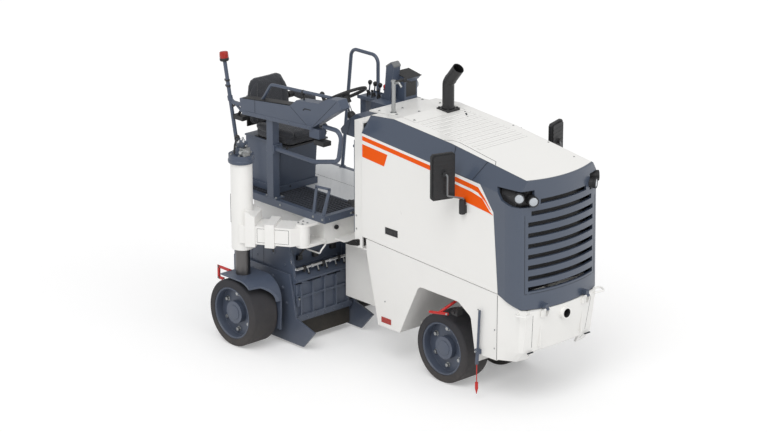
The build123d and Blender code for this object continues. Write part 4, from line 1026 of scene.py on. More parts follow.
def make_bumper_details():
    """Lining of the towing bore, drain slots, reflectors, and the seams and screws of the side panels."""
    lining = Piece("tow_bore_lining", "machine", "black_plastic", PLASTIC, bevel=0)
    lining.turned([(0.0348, -0.080), (0.0348, 0.0005), (0.0355, 0.0015), (0.0325, 0.0015), (0.031, -0.002),
                   (0.031, -0.080)], (0.944, 0, 0.731), (1, 0, 0), 40)
    lining.done()
    marks = Piece("bumper_slots", "machine", "black_plastic", SEAM_SHADE, RED_LENS, bevel=0)
    for side in (-1, 1):
        marks.block((0.8600, side * 0.285, 0.462), (0.8705, side * 0.345, 0.470))
        y = side * 0.4522
        marks.of(1).block((-0.640, y, 0.340), (-0.530, y + side * 0.003, 0.385)).of(0)
        strip(marks, [(0.6452, side * 0.4524, 0.905), (0.6452, side * 0.4524, 0.383)], (1, 0, 0), 0.004,
              (0, side * 0.0006, 0))
    marks.done()
    for name, side in (("side_panel_screws", -1), ("side_panel_screws_left", 1)):
        spots = [(x, side * 0.4525, z) for x, z in ((0.62, 0.62), (0.62, 0.47), (-0.60, 0.52))]
        screws(name, "machine", spots, (0, side, 0), across=0.010, height=0.004, washer=0.014)


EXHAUST = (-0.530, 0.160, 2.008)    # middle of its flange on the deck


def make_deck_details():
    """Bolts and collars on the fixed deck behind the hood, its exhaust and its bulkhead."""
    rows = ((-0.90, 1.9808), (-0.70, 1.9950), (-0.50, 1.9912))
    deck_bolts = [(x, y, z) for x, z in rows for y in (-0.235, 0.235)]
    deck_bolts += [(-0.82, -0.06, 1.9858), (-0.63, -0.06, 1.9992)]
    screws("deck_bolts", "machine", deck_bolts, (0, 0, 1), across=0.013, height=0.006, washer=0.022)
    plate = [Vector(EXHAUST) + Vector((a, b, 0)) for a in (-0.050, 0.050) for b in (-0.050, 0.050)]
    screws("exhaust_bolts", "machine", plate, (0, 0, 1), across=0.015, height=0.009, washer=0.024,
           material=BLACK, slot="black_metal")
    stack = Piece("exhaust_trim", "machine", "black_metal", BLACK, bevel=0)
    stack.turned([(0.0480, 0.0), (0.0535, 0.002), (0.0535, 0.010), (0.0480, 0.014)], EXHAUST, (0, 0, 1), 40)
    way = Vector((0.110, 0, 0.135)).normalized()
    stack.turned([(0.0480, 0.0), (0.0495, 0.002), (0.0495, 0.010), (0.0480, 0.012)],
                 Vector((-0.530, 0.160, 2.215)) + way * 0.035, way, 40)
    stack.done()
    screws("bulkhead_screws", "machine", [(-0.966, y, z) for z in (1.02, 1.13) for y in (-0.40, 0.36)],
           (-1, 0, 0), across=0.011, height=0.005, washer=0.018)
    screws("bulkhead_side_screws", "machine", [(-0.945, -0.4405, z) for z in (0.93, 1.04, 1.15)], (0, -1, 0),
           across=0.010, height=0.004, washer=0.016)


def make_display_details():
    """Face and soft top of the display, and the lid and lamp of the box beside it."""
    show = Piece("display_screen", "machine", "black_plastic", PLASTIC, GREY_PLASTIC, bevel=0.002)
    show.prism([(-1.1385, 0.054, 2.100), (-1.1265, 0.054, 2.222), (-1.1300, 0.054, 2.222),
                (-1.1420, 0.054, 2.100)], (0, 0.060, 0))
    show.of(1).prism([(-1.127, 0.046, 2.236), (-1.062, 0.046, 2.281), (-1.033, 0.046, 2.249),
                      (-1.031, 0.046, 2.262), (-1.058, 0.046, 2.290), (-1.070, 0.046, 2.289),
                      (-1.128, 0.046, 2.250)], (0, 0.076, 0))
    show.done()
    lid = Piece("lamp_box_lid", "machine", "black_plastic", PLASTIC, BLACK, bevel=0.003)
    lid.prism([(-1.108, 0.114, 2.186), (-0.958, 0.114, 2.160), (-0.952, 0.114, 2.164),
               (-1.108, 0.114, 2.192)], (0, 0.165, 0))
    lid.of(1).block((-0.9905, 0.140, 2.000), (-0.9895, 0.248, 2.118))
    lid.done()
    lamp = Piece("deck_lamp", "machine", "lens", LENS, PLASTIC, bevel=0)
    lamp.turned([(0.0, 0.0), (0.022, 0.0), (0.034, 0.010), (0.036, 0.020), (0.034, 0.028), (0.020, 0.034),
                 (0.0, 0.036)], (-1.036, 0.262, 2.075), (0, 1, 0), 32)
    lamp.of(1).block((-1.055, 0.2615, 2.035), (-1.017, 0.270, 2.115))
    lamp.done()


def make_post_details():
    """Collars and ball clamp on the post."""
    clamp = Piece("post_clamp", "machine", "bare_steel", ZINC, PLASTIC, bevel=0.001)
    post_x, post_y = -0.769, -0.205
    clamp.rod((post_x, post_y, 1.978), (post_x, post_y, 1.992), 0.052)
    clamp.rod((post_x, post_y, 2.235), (post_x, post_y, 2.252), 0.040)
    joint = (-0.700, -0.150, 2.255)
    clamp.of(1).ball(joint, 0.036)
    clamp.rod((post_x, post_y, 2.240), joint, 0.020)
    clamp.rod(joint, (-0.660, -0.110, 2.235), 0.018)
    clamp.rod((-0.735, -0.190, 2.232), (-0.735, -0.150, 2.262), 0.010)
    clamp.done()


LEVER_LEAN = (0.015, 0, 0.1)
TRAY_Z = 1.925      # top of the levers' tray


def make_lever_details():
    """Boots and knobs of the four levers, the small levers round them, and the folded tray."""
    heads = Piece("lever_heads", "machine", "black_plastic", PLASTIC, RED, GREY_PLASTIC, bevel=0.0008)
    boot = [(0.0, -0.002), (0.0200, -0.002), (0.0200, 0.004), (0.014, 0.010), (0.011, 0.018), (0.012, 0.025),
            (0.0075, 0.030)]
    knob = [(0.006, -0.022), (0.012, -0.016), (0.0175, -0.002), (0.0170, 0.010), (0.010, 0.0175),
            (0.0, 0.019)]
    for k in range(4):
        x = -1.440 + 0.060 * k
        heads.of(0).turned(boot, (x, 0.150, TRAY_Z), LEVER_LEAN, 24)
        heads.of(1 if k == 3 else 0).turned(knob, (x + 0.016, 0.150, 2.030), LEVER_LEAN, 24)
    heads.of(0)
    small = ((-1.41, 0.105), (-1.35, 0.100), (-1.29, 0.108), (-1.38, 0.205), (-1.31, 0.200), (-1.24, 0.206))
    for k, (x, y) in enumerate(small):
        rise = 0.012 * (k % 3)
        heads.rod((x, y, TRAY_Z), (x + 0.004, y, 1.965 + rise), 0.010, 12)
        heads.ball((x + 0.004, y, 1.972 + rise), 0.024, (1, 1, 0.8))
    heads.of(2).block((-1.4655, 0.085, 1.79), (-1.4645, 0.215, 1.90))
    heads.done()
    fold = Piece("tray_fold", "machine", "slate_metal", SLATE, bevel=0.002)
    fold.prism([(-1.230, 0.060, 1.926), (-1.150, 0.060, 2.040), (-1.135, 0.060, 2.040),
                (-1.150, 0.060, 1.966), (-1.185, 0.060, 1.966)], (0, 0.060, 0))
    for y in (0.058, 0.238):
        fold.block((-1.480, y, 1.905), (-1.190, y + 0.004, 1.936))
    fold.done()


def make_steering_details():
    """Hub and spinner knob of the steering wheel, the column's collar and the pod's seam."""
    hub = Piece("steering_hub", "steering", "black_plastic", PLASTIC, GREY_PLASTIC, bevel=0)
    slope = Vector((-0.5, 0, 0.866))
    top = Vector((-1.282, -0.240, 1.985))
    hub.turned([(0.040, 0.034), (0.046, 0.040), (0.046, 0.050), (0.036, 0.058), (0.0, 0.060)], top, slope, 40)
    hub.of(1).turned([(0.018, 0.060), (0.018, 0.0615), (0.0, 0.062)], top, slope, 32)
    side = Vector((0, 1, 0))
    up = slope.cross(side)
    spot = top + slope * 0.050 + spoke(side, up, radians(150)) * 0.165
    hub.of(0).rod(spot, spot + slope * 0.055, 0.030)
    hub.ball(spot + slope * 0.060, 0.042)
    hub.done()
    pod = Piece("pod_details", "machine", "black_plastic", PLASTIC, SEAM_SHADE, bevel=0)
    pod.turned([(0.034, 0.0), (0.034, 0.030), (0.024, 0.052), (0.0185, 0.056)], top - slope * 0.150, slope,
               32)
    strip(pod.of(1), [(-1.120, -0.3352, 1.900), (-1.165, -0.3352, 1.745)], (1, 0, 0), 0.003, (0, -0.0006, 0))
    pod.done()


def make_console_details():
    """Seams, grip, rail, dark pad, switch boxes, joystick and foot of the side console."""
    trim = Piece("console_seams", "machine", "slate_metal", SEAM_SHADE, SLATE, PLASTIC, bevel=0.0008)
    y = -0.6002
    out = (0, -0.0006, 0)
    strip(trim, [(-1.980, y, 1.918), (-1.980, y, 1.786)], (1, 0, 0), 0.004, out)
    strip(trim, [(-1.545, y, 1.950), (-1.355, y, 1.840)], (1, 0, 0.5), 0.003, out)
    strip(trim, [(-1.274, y, 1.845), (-0.998, y, 2.103)], (0.6, 0, -1), 0.003, out)
    # lower folded rail under the panel
    trim.of(1).prism([(-2.140, -0.603, 1.758), (-1.290, -0.603, 1.810), (-1.290, -0.603, 1.842),
                      (-2.140, -0.603, 1.790)], (0, 0.085, 0))
    trim.block((-1.330, -0.590, 1.745), (-1.215, -0.520, 1.825))
    # grip recess in the side, drawn flat in painted shade
    trim.of(0).prism([(-1.390, y, 1.948), (-1.370, y, 1.964), (-1.300, y, 1.968), (-1.300, y, 1.976),
                      (-1.372, y, 1.974), (-1.398, y, 1.956)], out)
    # dark pad on the sloping top
    trim.of(2).prism([(-1.545, -0.598, 1.9605), (-1.545, -0.508, 1.9605), (-2.140, -0.508, 1.893),
                      (-2.140, -0.598, 1.893)], (0, 0, 0.004))
    # switch boxes under the console, at its tail and beside the grab loop
    trim.block((-2.275, -0.590, 1.692), (-2.150, -0.520, 1.727))
    trim.rod((-2.240, -0.555, 1.727), (-2.200, -0.555, 1.775), 0.022)
    trim.block((-1.262, -0.602, 1.700), (-1.150, -0.520, 1.738))
    trim.rod((-1.225, -0.560, 1.735), (-1.265, -0.560, 1.800), 0.030)
    # joystick at the front of the arm panel
    trim.rod((-1.430, -0.552, 2.018), (-1.440, -0.552, 2.062), 0.014)
    trim.ball((-1.442, -0.552, 2.078), 0.040, (0.9, 0.9, 1.15))
    trim.done()
    heads = [(x, -0.603, z) for x, z in ((-1.57, 1.812), (-1.85, 1.793), (-2.08, 1.780), (-1.33, 1.826))]
    screws("console_screws", "machine", heads, (0, -1, 0), across=0.010, height=0.004, washer=0.016,
           material=SLATE, slot="slate_metal")
    foot = Piece("console_foot", "machine", "slate_metal", SLATE, bevel=0.002)
    foot.block((-1.895, -0.584, 1.1152), (-1.750, -0.490, 1.1252))
    foot.block((-1.872, -0.581, 1.500), (-1.773, -0.490, 1.570))
    foot.done()
    feet = [(x, y, 1.1252) for x, y in ((-1.870, -0.500), (-1.775, -0.500), (-1.878, -0.57), (-1.767, -0.57))]
    screws("console_foot_bolts", "machine", feet, (0, 0, 1), across=0.014, height=0.008, washer=0.022)


def make_seat_box_details():
    """Flange, plinth, front panel and adjuster rail of the seat box, and the seat's slide."""
    box_trim = Piece("seat_box_trim", "machine", "slate_metal", SLATE, SEAM_SHADE, BLACK, bevel=0.0015)
    box_trim.block((-2.268, -0.470, 1.528), (-1.835, -0.030, 1.541))
    box_trim.block((-2.262, -0.470, 1.1152), (-1.868, -0.030, 1.168))
    box_trim.prism([(-1.8840, -0.440, 1.180), (-1.8520, -0.440, 1.505), (-1.8485, -0.440, 1.505),
                    (-1.8800, -0.440, 1.180)], (0, 0.385, 0))
    # adjuster rail in the right side, drawn flat in painted shade, with its holes as black discs of painted
    # shade
    y = -0.4552
    box_trim.of(1).prism([(-1.985, y, 1.180), (-1.945, y, 1.470), (-1.900, y, 1.470), (-1.940, y, 1.180)],
                         (0, -0.0008, 0))
    for k in range(7):
        x, z = -1.953 + 0.0052 * k, 1.215 + 0.038 * k
        box_trim.of(2).rod((x, y - 0.001, z), (x, y - 0.004, z), 0.016, 16)
    box_trim.of(1).rod((-1.8665, -0.330, 1.150), (-1.8655, -0.330, 1.150), 0.018, 16)
    box_trim.done()
    slide = Piece("seat_slide", "machine", "black_metal", BLACK, PLASTIC, bevel=0.002)
    for y0 in (-0.430, -0.090):
        slide.block((-2.140, y0, 1.5405), (-1.760, y0 + 0.020, 1.556))
    slide.of(1).rod((-1.800, -0.470, 1.546), (-1.715, -0.495, 1.546), 0.012)
    slide.ball((-1.708, -0.497, 1.546), 0.024)
    slide.done()


def make_stand_details():
    """Seam and brackets of the platform, the boxes on its rails, and its bolts."""
    frame_trim = Piece("platform_edges", "machine", "slate_metal", SLATE, BLACK, SEAM_SHADE, bevel=0.0015)
    strip(frame_trim.of(2), [(-2.238, 0.115, 1.1155), (-1.217, 0.115, 1.1155)], (0, 1, 0), 0.004,
          (0, 0, 0.0006))
    # clamp of the thin post at floor height
    frame_trim.of(1).block((-1.010, -0.436, 1.205), (-0.966, -0.392, 1.262))
    frame_trim.block((-1.045, -0.428, 1.222), (-1.008, -0.400, 1.244))
    frame_trim.rod((-1.060, -0.414, 1.233), (-1.036, -0.414, 1.233), 0.034)
    frame_trim.block((-1.000, -0.436, 1.152), (-0.968, -0.398, 1.172))
    # boxes on the tall handrail
    frame_trim.block((-1.632, 0.395, 1.640), (-1.578, 0.432, 1.735))
    frame_trim.block((-1.638, 0.392, 1.585), (-1.590, 0.428, 1.625))
    frame_trim.block((-1.628, 0.390, 1.232), (-1.592, 0.430, 1.330))
    # bracket under the platform's near corner
    frame_trim.of(0).block((-1.172, -0.592, 1.062), (-1.158, -0.540, 1.108))
    frame_trim.done()
    screws("platform_bolts", "machine", [(x, -0.5855, 1.085) for x in (-1.300, -1.190, -1.700, -2.200)],
           (0, -1, 0), across=0.013, height=0.006, washer=0.020)
    screws("platform_front_bolts", "machine", [(-1.1645, y, 1.085) for y in (-0.540, -0.30, 0.10)],
           (1, 0, 0), across=0.013, height=0.006, washer=0.020)


def make_pole_details():
    """Clamps of the beacon's leaning pole, and its stay to the console."""
    pole = Piece("beacon_pole_clamps", "machine", "black_metal", BLACK, SLATE, bevel=0.001)
    foot, tip = Vector((-2.195, -0.555, 1.123)), Vector((-2.350, -0.600, 2.165))
    way = (tip - foot).normalized()
    for share in (0.80, 0.845):
        spot = foot.lerp(tip, share)
        pole.of(0).turned([(0.0165, -0.008), (0.020, -0.006), (0.020, 0.006), (0.0165, 0.008)], spot, way, 24)
        pole.block(spot + Vector((-0.034, -0.006, -0.008)), spot + Vector((-0.018, 0.006, 0.008)))
    spot = foot.lerp(tip, 0.705)
    pole.of(1).turned([(0.0165, -0.022), (0.022, -0.020), (0.022, 0.020), (0.0165, 0.022)], spot, way, 24)
    pole.rod(spot + Vector((0.015, 0.004, -0.006)), (-2.170, -0.575, 1.768), 0.020)
    pole.of(0).rod(spot + Vector((0.020, 0.004, -0.070)), spot + Vector((0.080, 0.010, -0.030)), 0.018)
    pole.done()


def make_cap_details():
    """Flange, unions, valve block and bent hoses on the column's cap."""
    cx, cy = COLUMN
    cap = Piece("cap_fittings", "turret", "chrome", CHROME, PLASTIC, ZINC, SLATE, bevel=0.0008)
    cap.of(3).turned([(0.0885, -0.002), (0.1045, 0.0), (0.1065, 0.006), (0.1065, 0.022), (0.102, 0.027),
                      (0.094, 0.027)], (cx, cy, 1.5335), (0, 0, 1), 64)
    cap.turned([(0.058, 0.0), (0.061, 0.004), (0.061, 0.012), (0.056, 0.016)], (cx, cy, 1.600), (0, 0, 1), 48)
    for x, y, z, d in ((0.030, -0.050, 1.706, 0.026), (0.048, -0.012, 1.706, 0.026),
                       (0.0, 0.020, 1.706, 0.022)):
        spot = Vector((cx + x, cy + y, z))
        cap.of(0).rod(spot, spot + Vector((0, 0, 0.014)), d, 6)
        cap.rod(spot + Vector((0, 0, 0.014)), spot + Vector((0, 0, 0.024)), d * 0.7, 16)
    cap.rod((cx + 0.050, cy - 0.005, 1.680), (cx + 0.078, cy - 0.005, 1.680), 0.024, 6)
    cap.rod((cx + 0.020, cy - 0.055, 1.678), (cx + 0.020, cy - 0.075, 1.678), 0.022, 6)
    cap.of(2).block((cx + 0.045, cy - 0.052, 1.602), (cx + 0.098, cy + 0.012, 1.668))
    cap.rod((cx + 0.070, cy - 0.052, 1.636), (cx + 0.070, cy - 0.072, 1.636), 0.030, 20)
    cap.of(0).rod((cx + 0.098, cy - 0.020, 1.640), (cx + 0.112, cy - 0.020, 1.640), 0.022, 6)
    cap.of(1).pipe([(cx - 0.030, cy, 1.712), (cx - 0.030, cy, 1.732), (cx - 0.062, cy + 0.006, 1.732),
                    (cx - 0.075, cy + 0.010, 1.700)], 0.024, 0.016)
    cap.pipe([(cx + 0.030, cy - 0.050, 1.728), (cx + 0.028, cy - 0.072, 1.730),
              (cx + 0.026, cy - 0.086, 1.690), (cx + 0.020, cy - 0.088, 1.620)], 0.016, 0.02)
    cap.done()
    bolts = ring((cx, cy, 1.600), (0, 0, 1), 0.082, 6, 0.4)
    screws("cap_bolts", "turret", bolts, (0, 0, 1), across=0.017, height=0.010, washer=0.024)


SCALE_TICKS, TICK_PITCH, TICK_WIDTH = 23, 0.010, 0.0018     # of the height scale


def make_height_scale():
    """Height scale at the column's outer edge: bare ticks on a dark strip."""
    scale = Piece("height_scale", "arm", "black_metal", BLACK, SCALE_WHITE, bevel=0.0005)
    angle = radians(212)
    side = Vector((cos(angle), sin(angle), 0))
    along = Vector((-side.y, side.x, 0))
    base = Vector((*COLUMN, 0)) + side * 0.0880
    foot, head = Vector((0, 0, 1.02)), Vector((0, 0, 1.26))
    near, far = base - along * 0.016, base + along * 0.016
    scale.prism([near + foot, far + foot, far + head, near + head], side * 0.0035)
    for k in range(SCALE_TICKS):
        reach = along * (0.012 if k % 5 == 0 else 0.006)
        a = base + side * 0.0036 - along * 0.014 + Vector((0, 0, 1.03 + k * TICK_PITCH))
        up = Vector((0, 0, TICK_WIDTH))
        scale.of(1).prism([a, a + reach, a + reach + up, a + up], side * 0.0005)
    scale.done()


def make_arm_details():
    """Border line on the arm's outer face, drawn in the arm's own direction, and its pin's screws."""
    pivot = Vector((*ARM_PIVOT, 0))
    along = Vector((*COLUMN, 0)) - pivot
    length = along.length
    along.normalize()
    out = Vector((along.y, -along.x, 0))
    if out.y > 0:
        out = -out
    low, high, left, right = 0.898, 1.014, 0.092, length - 0.150
    trim = Piece("arm_outline", "arm", "white_metal", SEAM_SHADE, bevel=0)
    corners = [(left, low), (right, low), (right, high), (left, high)]
    for (d0, z0), (d1, z1) in zip(corners, corners[1:] + corners[:1]):
        p, q = [pivot + along * d + out * 0.1002 + Vector((0, 0, z)) for d, z in ((d0, z0), (d1, z1))]
        strip(trim, [p, q], (0, 0, 1) if abs(z1 - z0) < 1e-6 else along, 0.0024, out * 0.0006)
    trim.done()
    screws("arm_pin_screws", "machine", ring((*ARM_PIVOT, 1.0552), (0, 0, 1), 0.036, 4), (0, 0, 1),
           across=0.013, height=0.007, washer=0.020)


def make_corner_shadow_sheet():
    """Dark rubber sheet over the corner between the bulkhead and the frame's top ledge, as painted shadow of
    the gap there.
    """
    outline = [(-1.100, 0.884), (-1.050, 0.902), (-0.985, 0.938), (-0.925, 0.958), (-0.906, 0.958),
               (-0.906, 0.912), (-0.930, 0.899), (-1.020, 0.884)]
    shadow_sheet = Piece("corner_shadow_sheet", "machine", "rubber", RUBBER, bevel=0.0008)
    shadow_sheet.prism([(x, -0.4405, z) for x, z in outline], (0, -0.004, 0))
    shadow_sheet.done()


def make_cross_wall_details():
    """Grommet in the cross box's wall, the bent rod under it, and its bolts."""
    wall = Piece("cross_wall_fittings", "machine", "black_plastic", PLASTIC, WHITE, bevel=0.001)
    wall.turned([(0.0, 0.0), (0.013, 0.0), (0.019, 0.002), (0.020, 0.006), (0.015, 0.009), (0.010, 0.003)],
                (-1.2345, -0.395, 0.972), (0.85, -0.5, 0), 24)
    wall.of(1).pipe([(-1.429, -0.550, 0.838), (-1.429, -0.550, 0.773), (-1.260, -0.550, 0.776),
                     (-1.247, -0.550, 0.804), (-1.247, -0.500, 0.845)], 0.013, 0.024)
    wall.done()
    bolts = [(-1.2145, side * y, z) for side in (-1, 1) for y, z in ((0.193, 1.018), (0.200, 0.887))]
    screws("cross_box_bolts", "machine", bolts, (1, 0, 0), across=0.013, height=0.007, washer=0.020)


def make_unit_details():
    """Seams, water pipe clamps, nozzles, valves, latches and hinges of the drum's housing, and its bolts."""
    x1 = -1.390     # face of the recess
    unit = Piece("housing_trim", "machine", "slate_metal", SLATE, SEAM_SHADE, BLACK, CHROME, ZINC, bevel=0.0015)
    y = -0.7152
    out = (0, -0.0008, 0)
    # seams down the side in painted shade, and the ring hole, whose middle is a black disc of painted shade
    strip(unit.of(1), [(-1.905, y, 0.838), (-1.905, y, 0.606)], (1, 0, 0), 0.004, out)
    strip(unit, [(-1.760, y, 0.838), (-1.760, y, 0.606)], (1, 0, 0), 0.003, out)
    unit.of(0).turned([(0.020, 0.0), (0.0235, 0.001), (0.0235, 0.0028), (0.018, 0.0028), (0.014, 0.0005)],
                      (-1.640, y, 0.742), (0, -1, 0), 28)
    unit.of(2).rod((-1.640, y, 0.742), (-1.640, y - 0.0012, 0.742), 0.028, 24)
    # edge fold round the recess
    unit.of(0).prism([(x1 - 0.004, y, 0.640), (-1.455, y, 0.800), (-1.464, y, 0.800), (x1 - 0.014, y, 0.636)],
                     (0, 0.024, 0))
    # clamps and couplings of the water pipe, and its bent feed
    for k, yy in enumerate((-0.600, -0.520, -0.400, -0.330, -0.230)):
        unit.of(2 if k % 2 == 0 else 3).turned([(0.0142, -0.014), (0.020, -0.012), (0.020, 0.012),
                                                (0.0142, 0.014)], (-1.398, yy, 0.632), (0, 1, 0), 24)
        if k % 2 == 0:
            unit.block((-1.410, yy - 0.008, 0.612), (-1.386, yy + 0.008, 0.600))
    unit.of(3).pipe([(-1.398, -0.655, 0.632), (-1.398, -0.700, 0.634), (-1.420, -0.704, 0.690),
                     (-1.448, -0.700, 0.770)], 0.026, 0.03)
    for yy in (-0.560, -0.455, -0.365, -0.265, -0.175):
        unit.of(4).rod((-1.398, yy, 0.620), (-1.384, yy, 0.585), 0.011, 12)
        unit.of(2).rod((-1.384, yy, 0.585), (-1.380, yy, 0.575), 0.018, 12)
    # black valve bodies on the recessed wall, and hoses above the pipe
    for yy, z in ((-0.60, 0.705), (-0.43, 0.695), (-0.24, 0.720)):
        unit.of(2).block((-1.4695, yy - 0.024, z - 0.020), (-1.440, yy + 0.024, z + 0.020))
    unit.pipe([(-1.455, -0.600, 0.720), (-1.440, -0.560, 0.770), (-1.450, -0.430, 0.790),
               (-1.455, -0.240, 0.735)], 0.016, 0.04)
    # latches at the door's ends and hinge barrels on its upper edge
    for yy in (-0.690, -0.135):
        unit.of(0).block((x1 + 0.0165, yy - 0.014, 0.330), (x1 + 0.030, yy + 0.014, 0.420))
        unit.of(4).rod((x1 + 0.030, yy, 0.395), (x1 + 0.040, yy, 0.395), 0.016, 6)
    for yy in (-0.620, -0.410, -0.200):
        unit.of(0).rod((x1 + 0.010, yy - 0.030, 0.522), (x1 + 0.010, yy + 0.030, 0.522), 0.020, 20)
    unit.done()
    rows = [(x1 + 0.0345, -0.700 + 0.096 * k, 0.228) for k in range(7)]
    screws("door_bolts", "machine", rows, (1, 0, 0), across=0.013, height=0.006, washer=0.020, material=SLATE,
           slot="slate_metal")
    side = [(-1.50, -0.7151, 0.66), (-1.84, -0.7151, 0.66), (-2.05, -0.7151, 0.66), (-2.05, -0.7151, 0.79)]
    screws("housing_side_bolts", "machine", side, (0, -1, 0), across=0.015, height=0.0035, washer=0.022,
           material=SLATE, slot="slate_metal")
    for word, body, face, sign in (("right", "plate_right", -0.7382, -1), ("left", "plate_left", -0.0868, 1)):
        heads = [(-1.500, face, 0.470), (-1.455, face, 0.350), (-1.620, face, 0.540), (-1.880, face, 0.540),
                 (-2.050, face, 0.540), (-2.050, face, 0.180), (-1.900, face, 0.180)]
        screws("plate_bolts_" + word, body, heads, (0, sign, 0), across=0.020, height=0.011, washer=0.032,
               material=SLATE, slot="slate_metal")


def make_guard_details():
    """Mount of the guard bar, flat steel on the foot guard, and the clamp of the pointer's slide."""
    bar = Piece("guard_bar_mount", "machine", "black_metal", BLACK, PLASTIC, ZINC, bevel=0.001)
    bar.block((0.150, -0.440, 0.610), (0.200, -0.380, 0.665))
    bar.rod((0.160, -0.452, 0.636), (0.160, -0.400, 0.636), 0.036)
    bar.of(1).pipe([(0.180, -0.400, 0.660), (0.230, -0.400, 0.690), (0.270, -0.360, 0.690)], 0.020, 0.03)
    bar.of(2).rod((0.156, -0.506, 0.636), (0.156, -0.516, 0.636), 0.018, 6)
    bar.done()
    # along the outer side of the foot guard, from the fender's end round its tail
    low, high = span("foot_guard")
    fender_tail = span("rear_right_fender")[0].x
    across, thick, tube_radius = 0.024, 0.005, 0.008
    foot, head, tail, face = low.z + tube_radius, high.z - tube_radius, low.x + tube_radius, low.y + 0.001
    flats = Piece("foot_guard_flats", "leg_right", "red_metal", RED, ZINC, bevel=0.0008)
    strip(flats, [(fender_tail - 0.002, face, head), (tail, face, head)], (0, 0, 1), across, (0, -thick, 0))
    strip(flats, [(tail, face, head + across / 2), (tail, face, foot - across / 2)], (1, 0, 0), across,
          (0, -thick, 0))
    strip(flats, [(tail, face, foot), (high.x - 0.095, face, foot)], (0, 0, 1), across, (0, -thick, 0))
    for z in (head, foot):
        flats.of(1).rod((tail, face - thick, z), (tail, face - thick - 0.007, z), 0.014, 6)
    flats.done()
    clamp = Piece("pointer_clamp", "machine", "slate_metal", SLATE, ZINC, bevel=0.001)
    clamp.block((0.446, -0.492, 0.396), (0.478, -0.456, 0.428))
    clamp.of(1).rod((0.462, -0.492, 0.412), (0.462, -0.506, 0.412), 0.016, 6)
    clamp.rod((0.462, -0.474, 0.7455), (0.462, -0.474, 0.752), 0.014)
    clamp.done()


def make_leg_details():
    """Plugs of the wheel motors on the inner side of each rear leg."""
    for word, sign in (("right", 1), ("left", -1)):
        low, high = span("rear_%s_leg" % word)
        motor = Piece("drive_motor_" + word, "leg_" + word, "black_metal", ZINC, bevel=0.002)
        for x in (-0.030, 0.030):
            spot = Vector((-WHEELBASE + x, high.y if sign > 0 else low.y, 0.400))
            motor.rod(spot - Vector((0, sign * 0.001, 0)), spot + Vector((0, sign * 0.010, 0)), 0.022, 6)
        motor.done()


# ---------------------------------------------------------------- studio
AZIMUTH, ELEVATION = radians(47.06), radians(18.58)     # of the camera's view
CAMERA_SPOT = (14.790, -14.785, 8.302)
CAMERA_LENS = 133.03
FLOOR_REACH = 60.0
WORLD_LEVEL = 0.62
FLOOR_GLOW = 0.27
PURE_WHITE = (1.0, 1.0, 1.0, 1.0)
# name, direction of the light, strength, angle of its disc
SUNS = (("key_light", (-0.35, 0.75, -1.0), 1.1, 35), ("front_light", (-0.9, -0.1, -0.55), 0.55, 45))


def seen_by(tree, *rays):
    """1 for the kinds of ray named, else 0."""
    kinds = tree.nodes.new("ShaderNodeLightPath").outputs
    seen = kinds[rays[0]]
    for ray in rays[1:]:
        seen = maths(tree, "MAXIMUM", seen, kinds[ray])
    return seen


def make_camera():
    camera = bpy.data.cameras.new("studio_camera")
    camera.sensor_width = 36.0
    camera.lens = CAMERA_LENS
    camera.clip_end = 200.0
    holder = placed("studio_camera", camera)
    holder.location = AXLE + Vector(CAMERA_SPOT)
    way = Vector((-cos(ELEVATION) * sin(AZIMUTH), cos(ELEVATION) * cos(AZIMUTH), -sin(ELEVATION)))
    holder.rotation_euler = way.to_track_quat("-Z", "Y").to_euler()
    bpy.context.scene.camera = holder


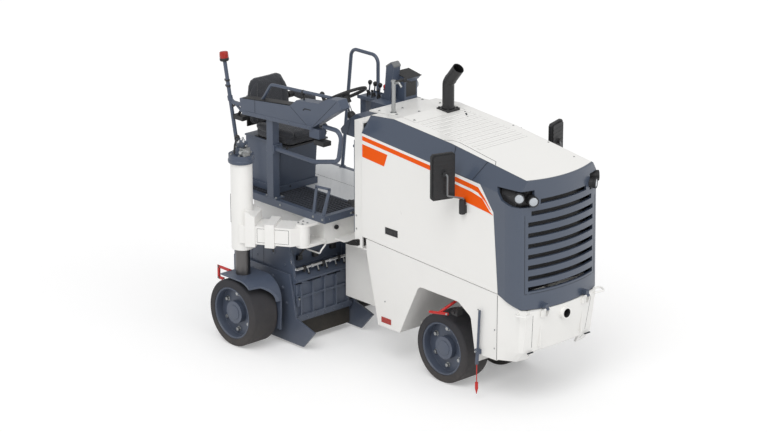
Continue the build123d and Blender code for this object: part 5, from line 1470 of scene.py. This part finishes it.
def make_lights():
    """Even light from the world, seen as white behind the machine, and two suns."""
    world = bpy.data.worlds.new("studio_world")
    bpy.context.scene.world = world
    world.use_nodes = True
    tree = world.node_tree
    light = fill(tree, tree.nodes["Background"], {"Color": PURE_WHITE, "Strength": WORLD_LEVEL})
    bright = add(tree, "ShaderNodeBackground", {"Color": PURE_WHITE, "Strength": 1.0})
    seen = seen_by(tree, "Is Camera Ray", "Is Transmission Ray")
    blend = add(tree, "ShaderNodeMixShader", {0: seen, 1: light.outputs[0], 2: bright.outputs[0]})
    tree.links.new(blend.outputs[0], tree.nodes["World Output"].inputs["Surface"])
    for name, direction, strength, angle in SUNS:
        lamp = bpy.data.lights.new(name, "SUN")
        lamp.energy = strength
        lamp.angle = radians(angle)
        placed(name, lamp).rotation_euler = Vector(direction).to_track_quat("-Z", "Y").to_euler()


def make_ground():
    """Pale floor that keeps the machine's shadow and glows just enough to pass into the white behind it."""
    mesh = bpy.data.meshes.new("studio_floor")
    corners = [(-1, -1), (1, -1), (1, 1), (-1, 1)]
    mesh.from_pydata([(x * FLOOR_REACH, y * FLOOR_REACH, 0) for x, y in corners], [], [(0, 1, 2, 3)])
    floor = placed("studio_floor", mesh)
    material, tree, shader, place = new_material("studio_floor")
    cloud = use(tree, CLOUD, Vector=place, Scale=0.4, Contrast=1.0)
    tone = mixed(tree, cloud, (0.78, 0.78, 0.78, 1), (0.80, 0.80, 0.80, 1))
    fill(tree, shader, {"Base Color": tone, "Roughness": 0.65, "Specular IOR Level": 0.25})
    glow = add(tree, "ShaderNodeEmission", {"Color": PURE_WHITE, "Strength": FLOOR_GLOW})
    seen = seen_by(tree, "Is Camera Ray", "Is Glossy Ray", "Is Transmission Ray")
    glow_on = add(tree, "ShaderNodeMixShader", {0: seen, 2: glow.outputs[0]})
    joined = add(tree, "ShaderNodeAddShader", {0: shader.outputs[0], 1: glow_on.outputs[0]})
    tree.links.new(joined.outputs[0], tree.nodes["Material Output"].inputs["Surface"])
    mesh.materials.append(material)


bpy.context.scene.view_settings.view_transform = "Standard"
make_camera()
make_lights()
make_ground()
make_wheel_details()
make_cushion()
make_back()
make_arm_rest()
make_piping()
make_mirrors()
make_lamps()
make_beacon()
make_hood_films()
make_latches()
make_floor()
make_hood_lines()
make_cowl_lines()
make_side_lines()
make_bumper_details()
make_deck_details()
make_display_details()
make_post_details()
make_lever_details()
make_steering_details()
make_console_details()
make_seat_box_details()
make_stand_details()
make_pole_details()
make_cap_details()
make_height_scale()
make_arm_details()
make_corner_shadow_sheet()
make_cross_wall_details()
make_unit_details()
make_guard_details()
make_leg_details()
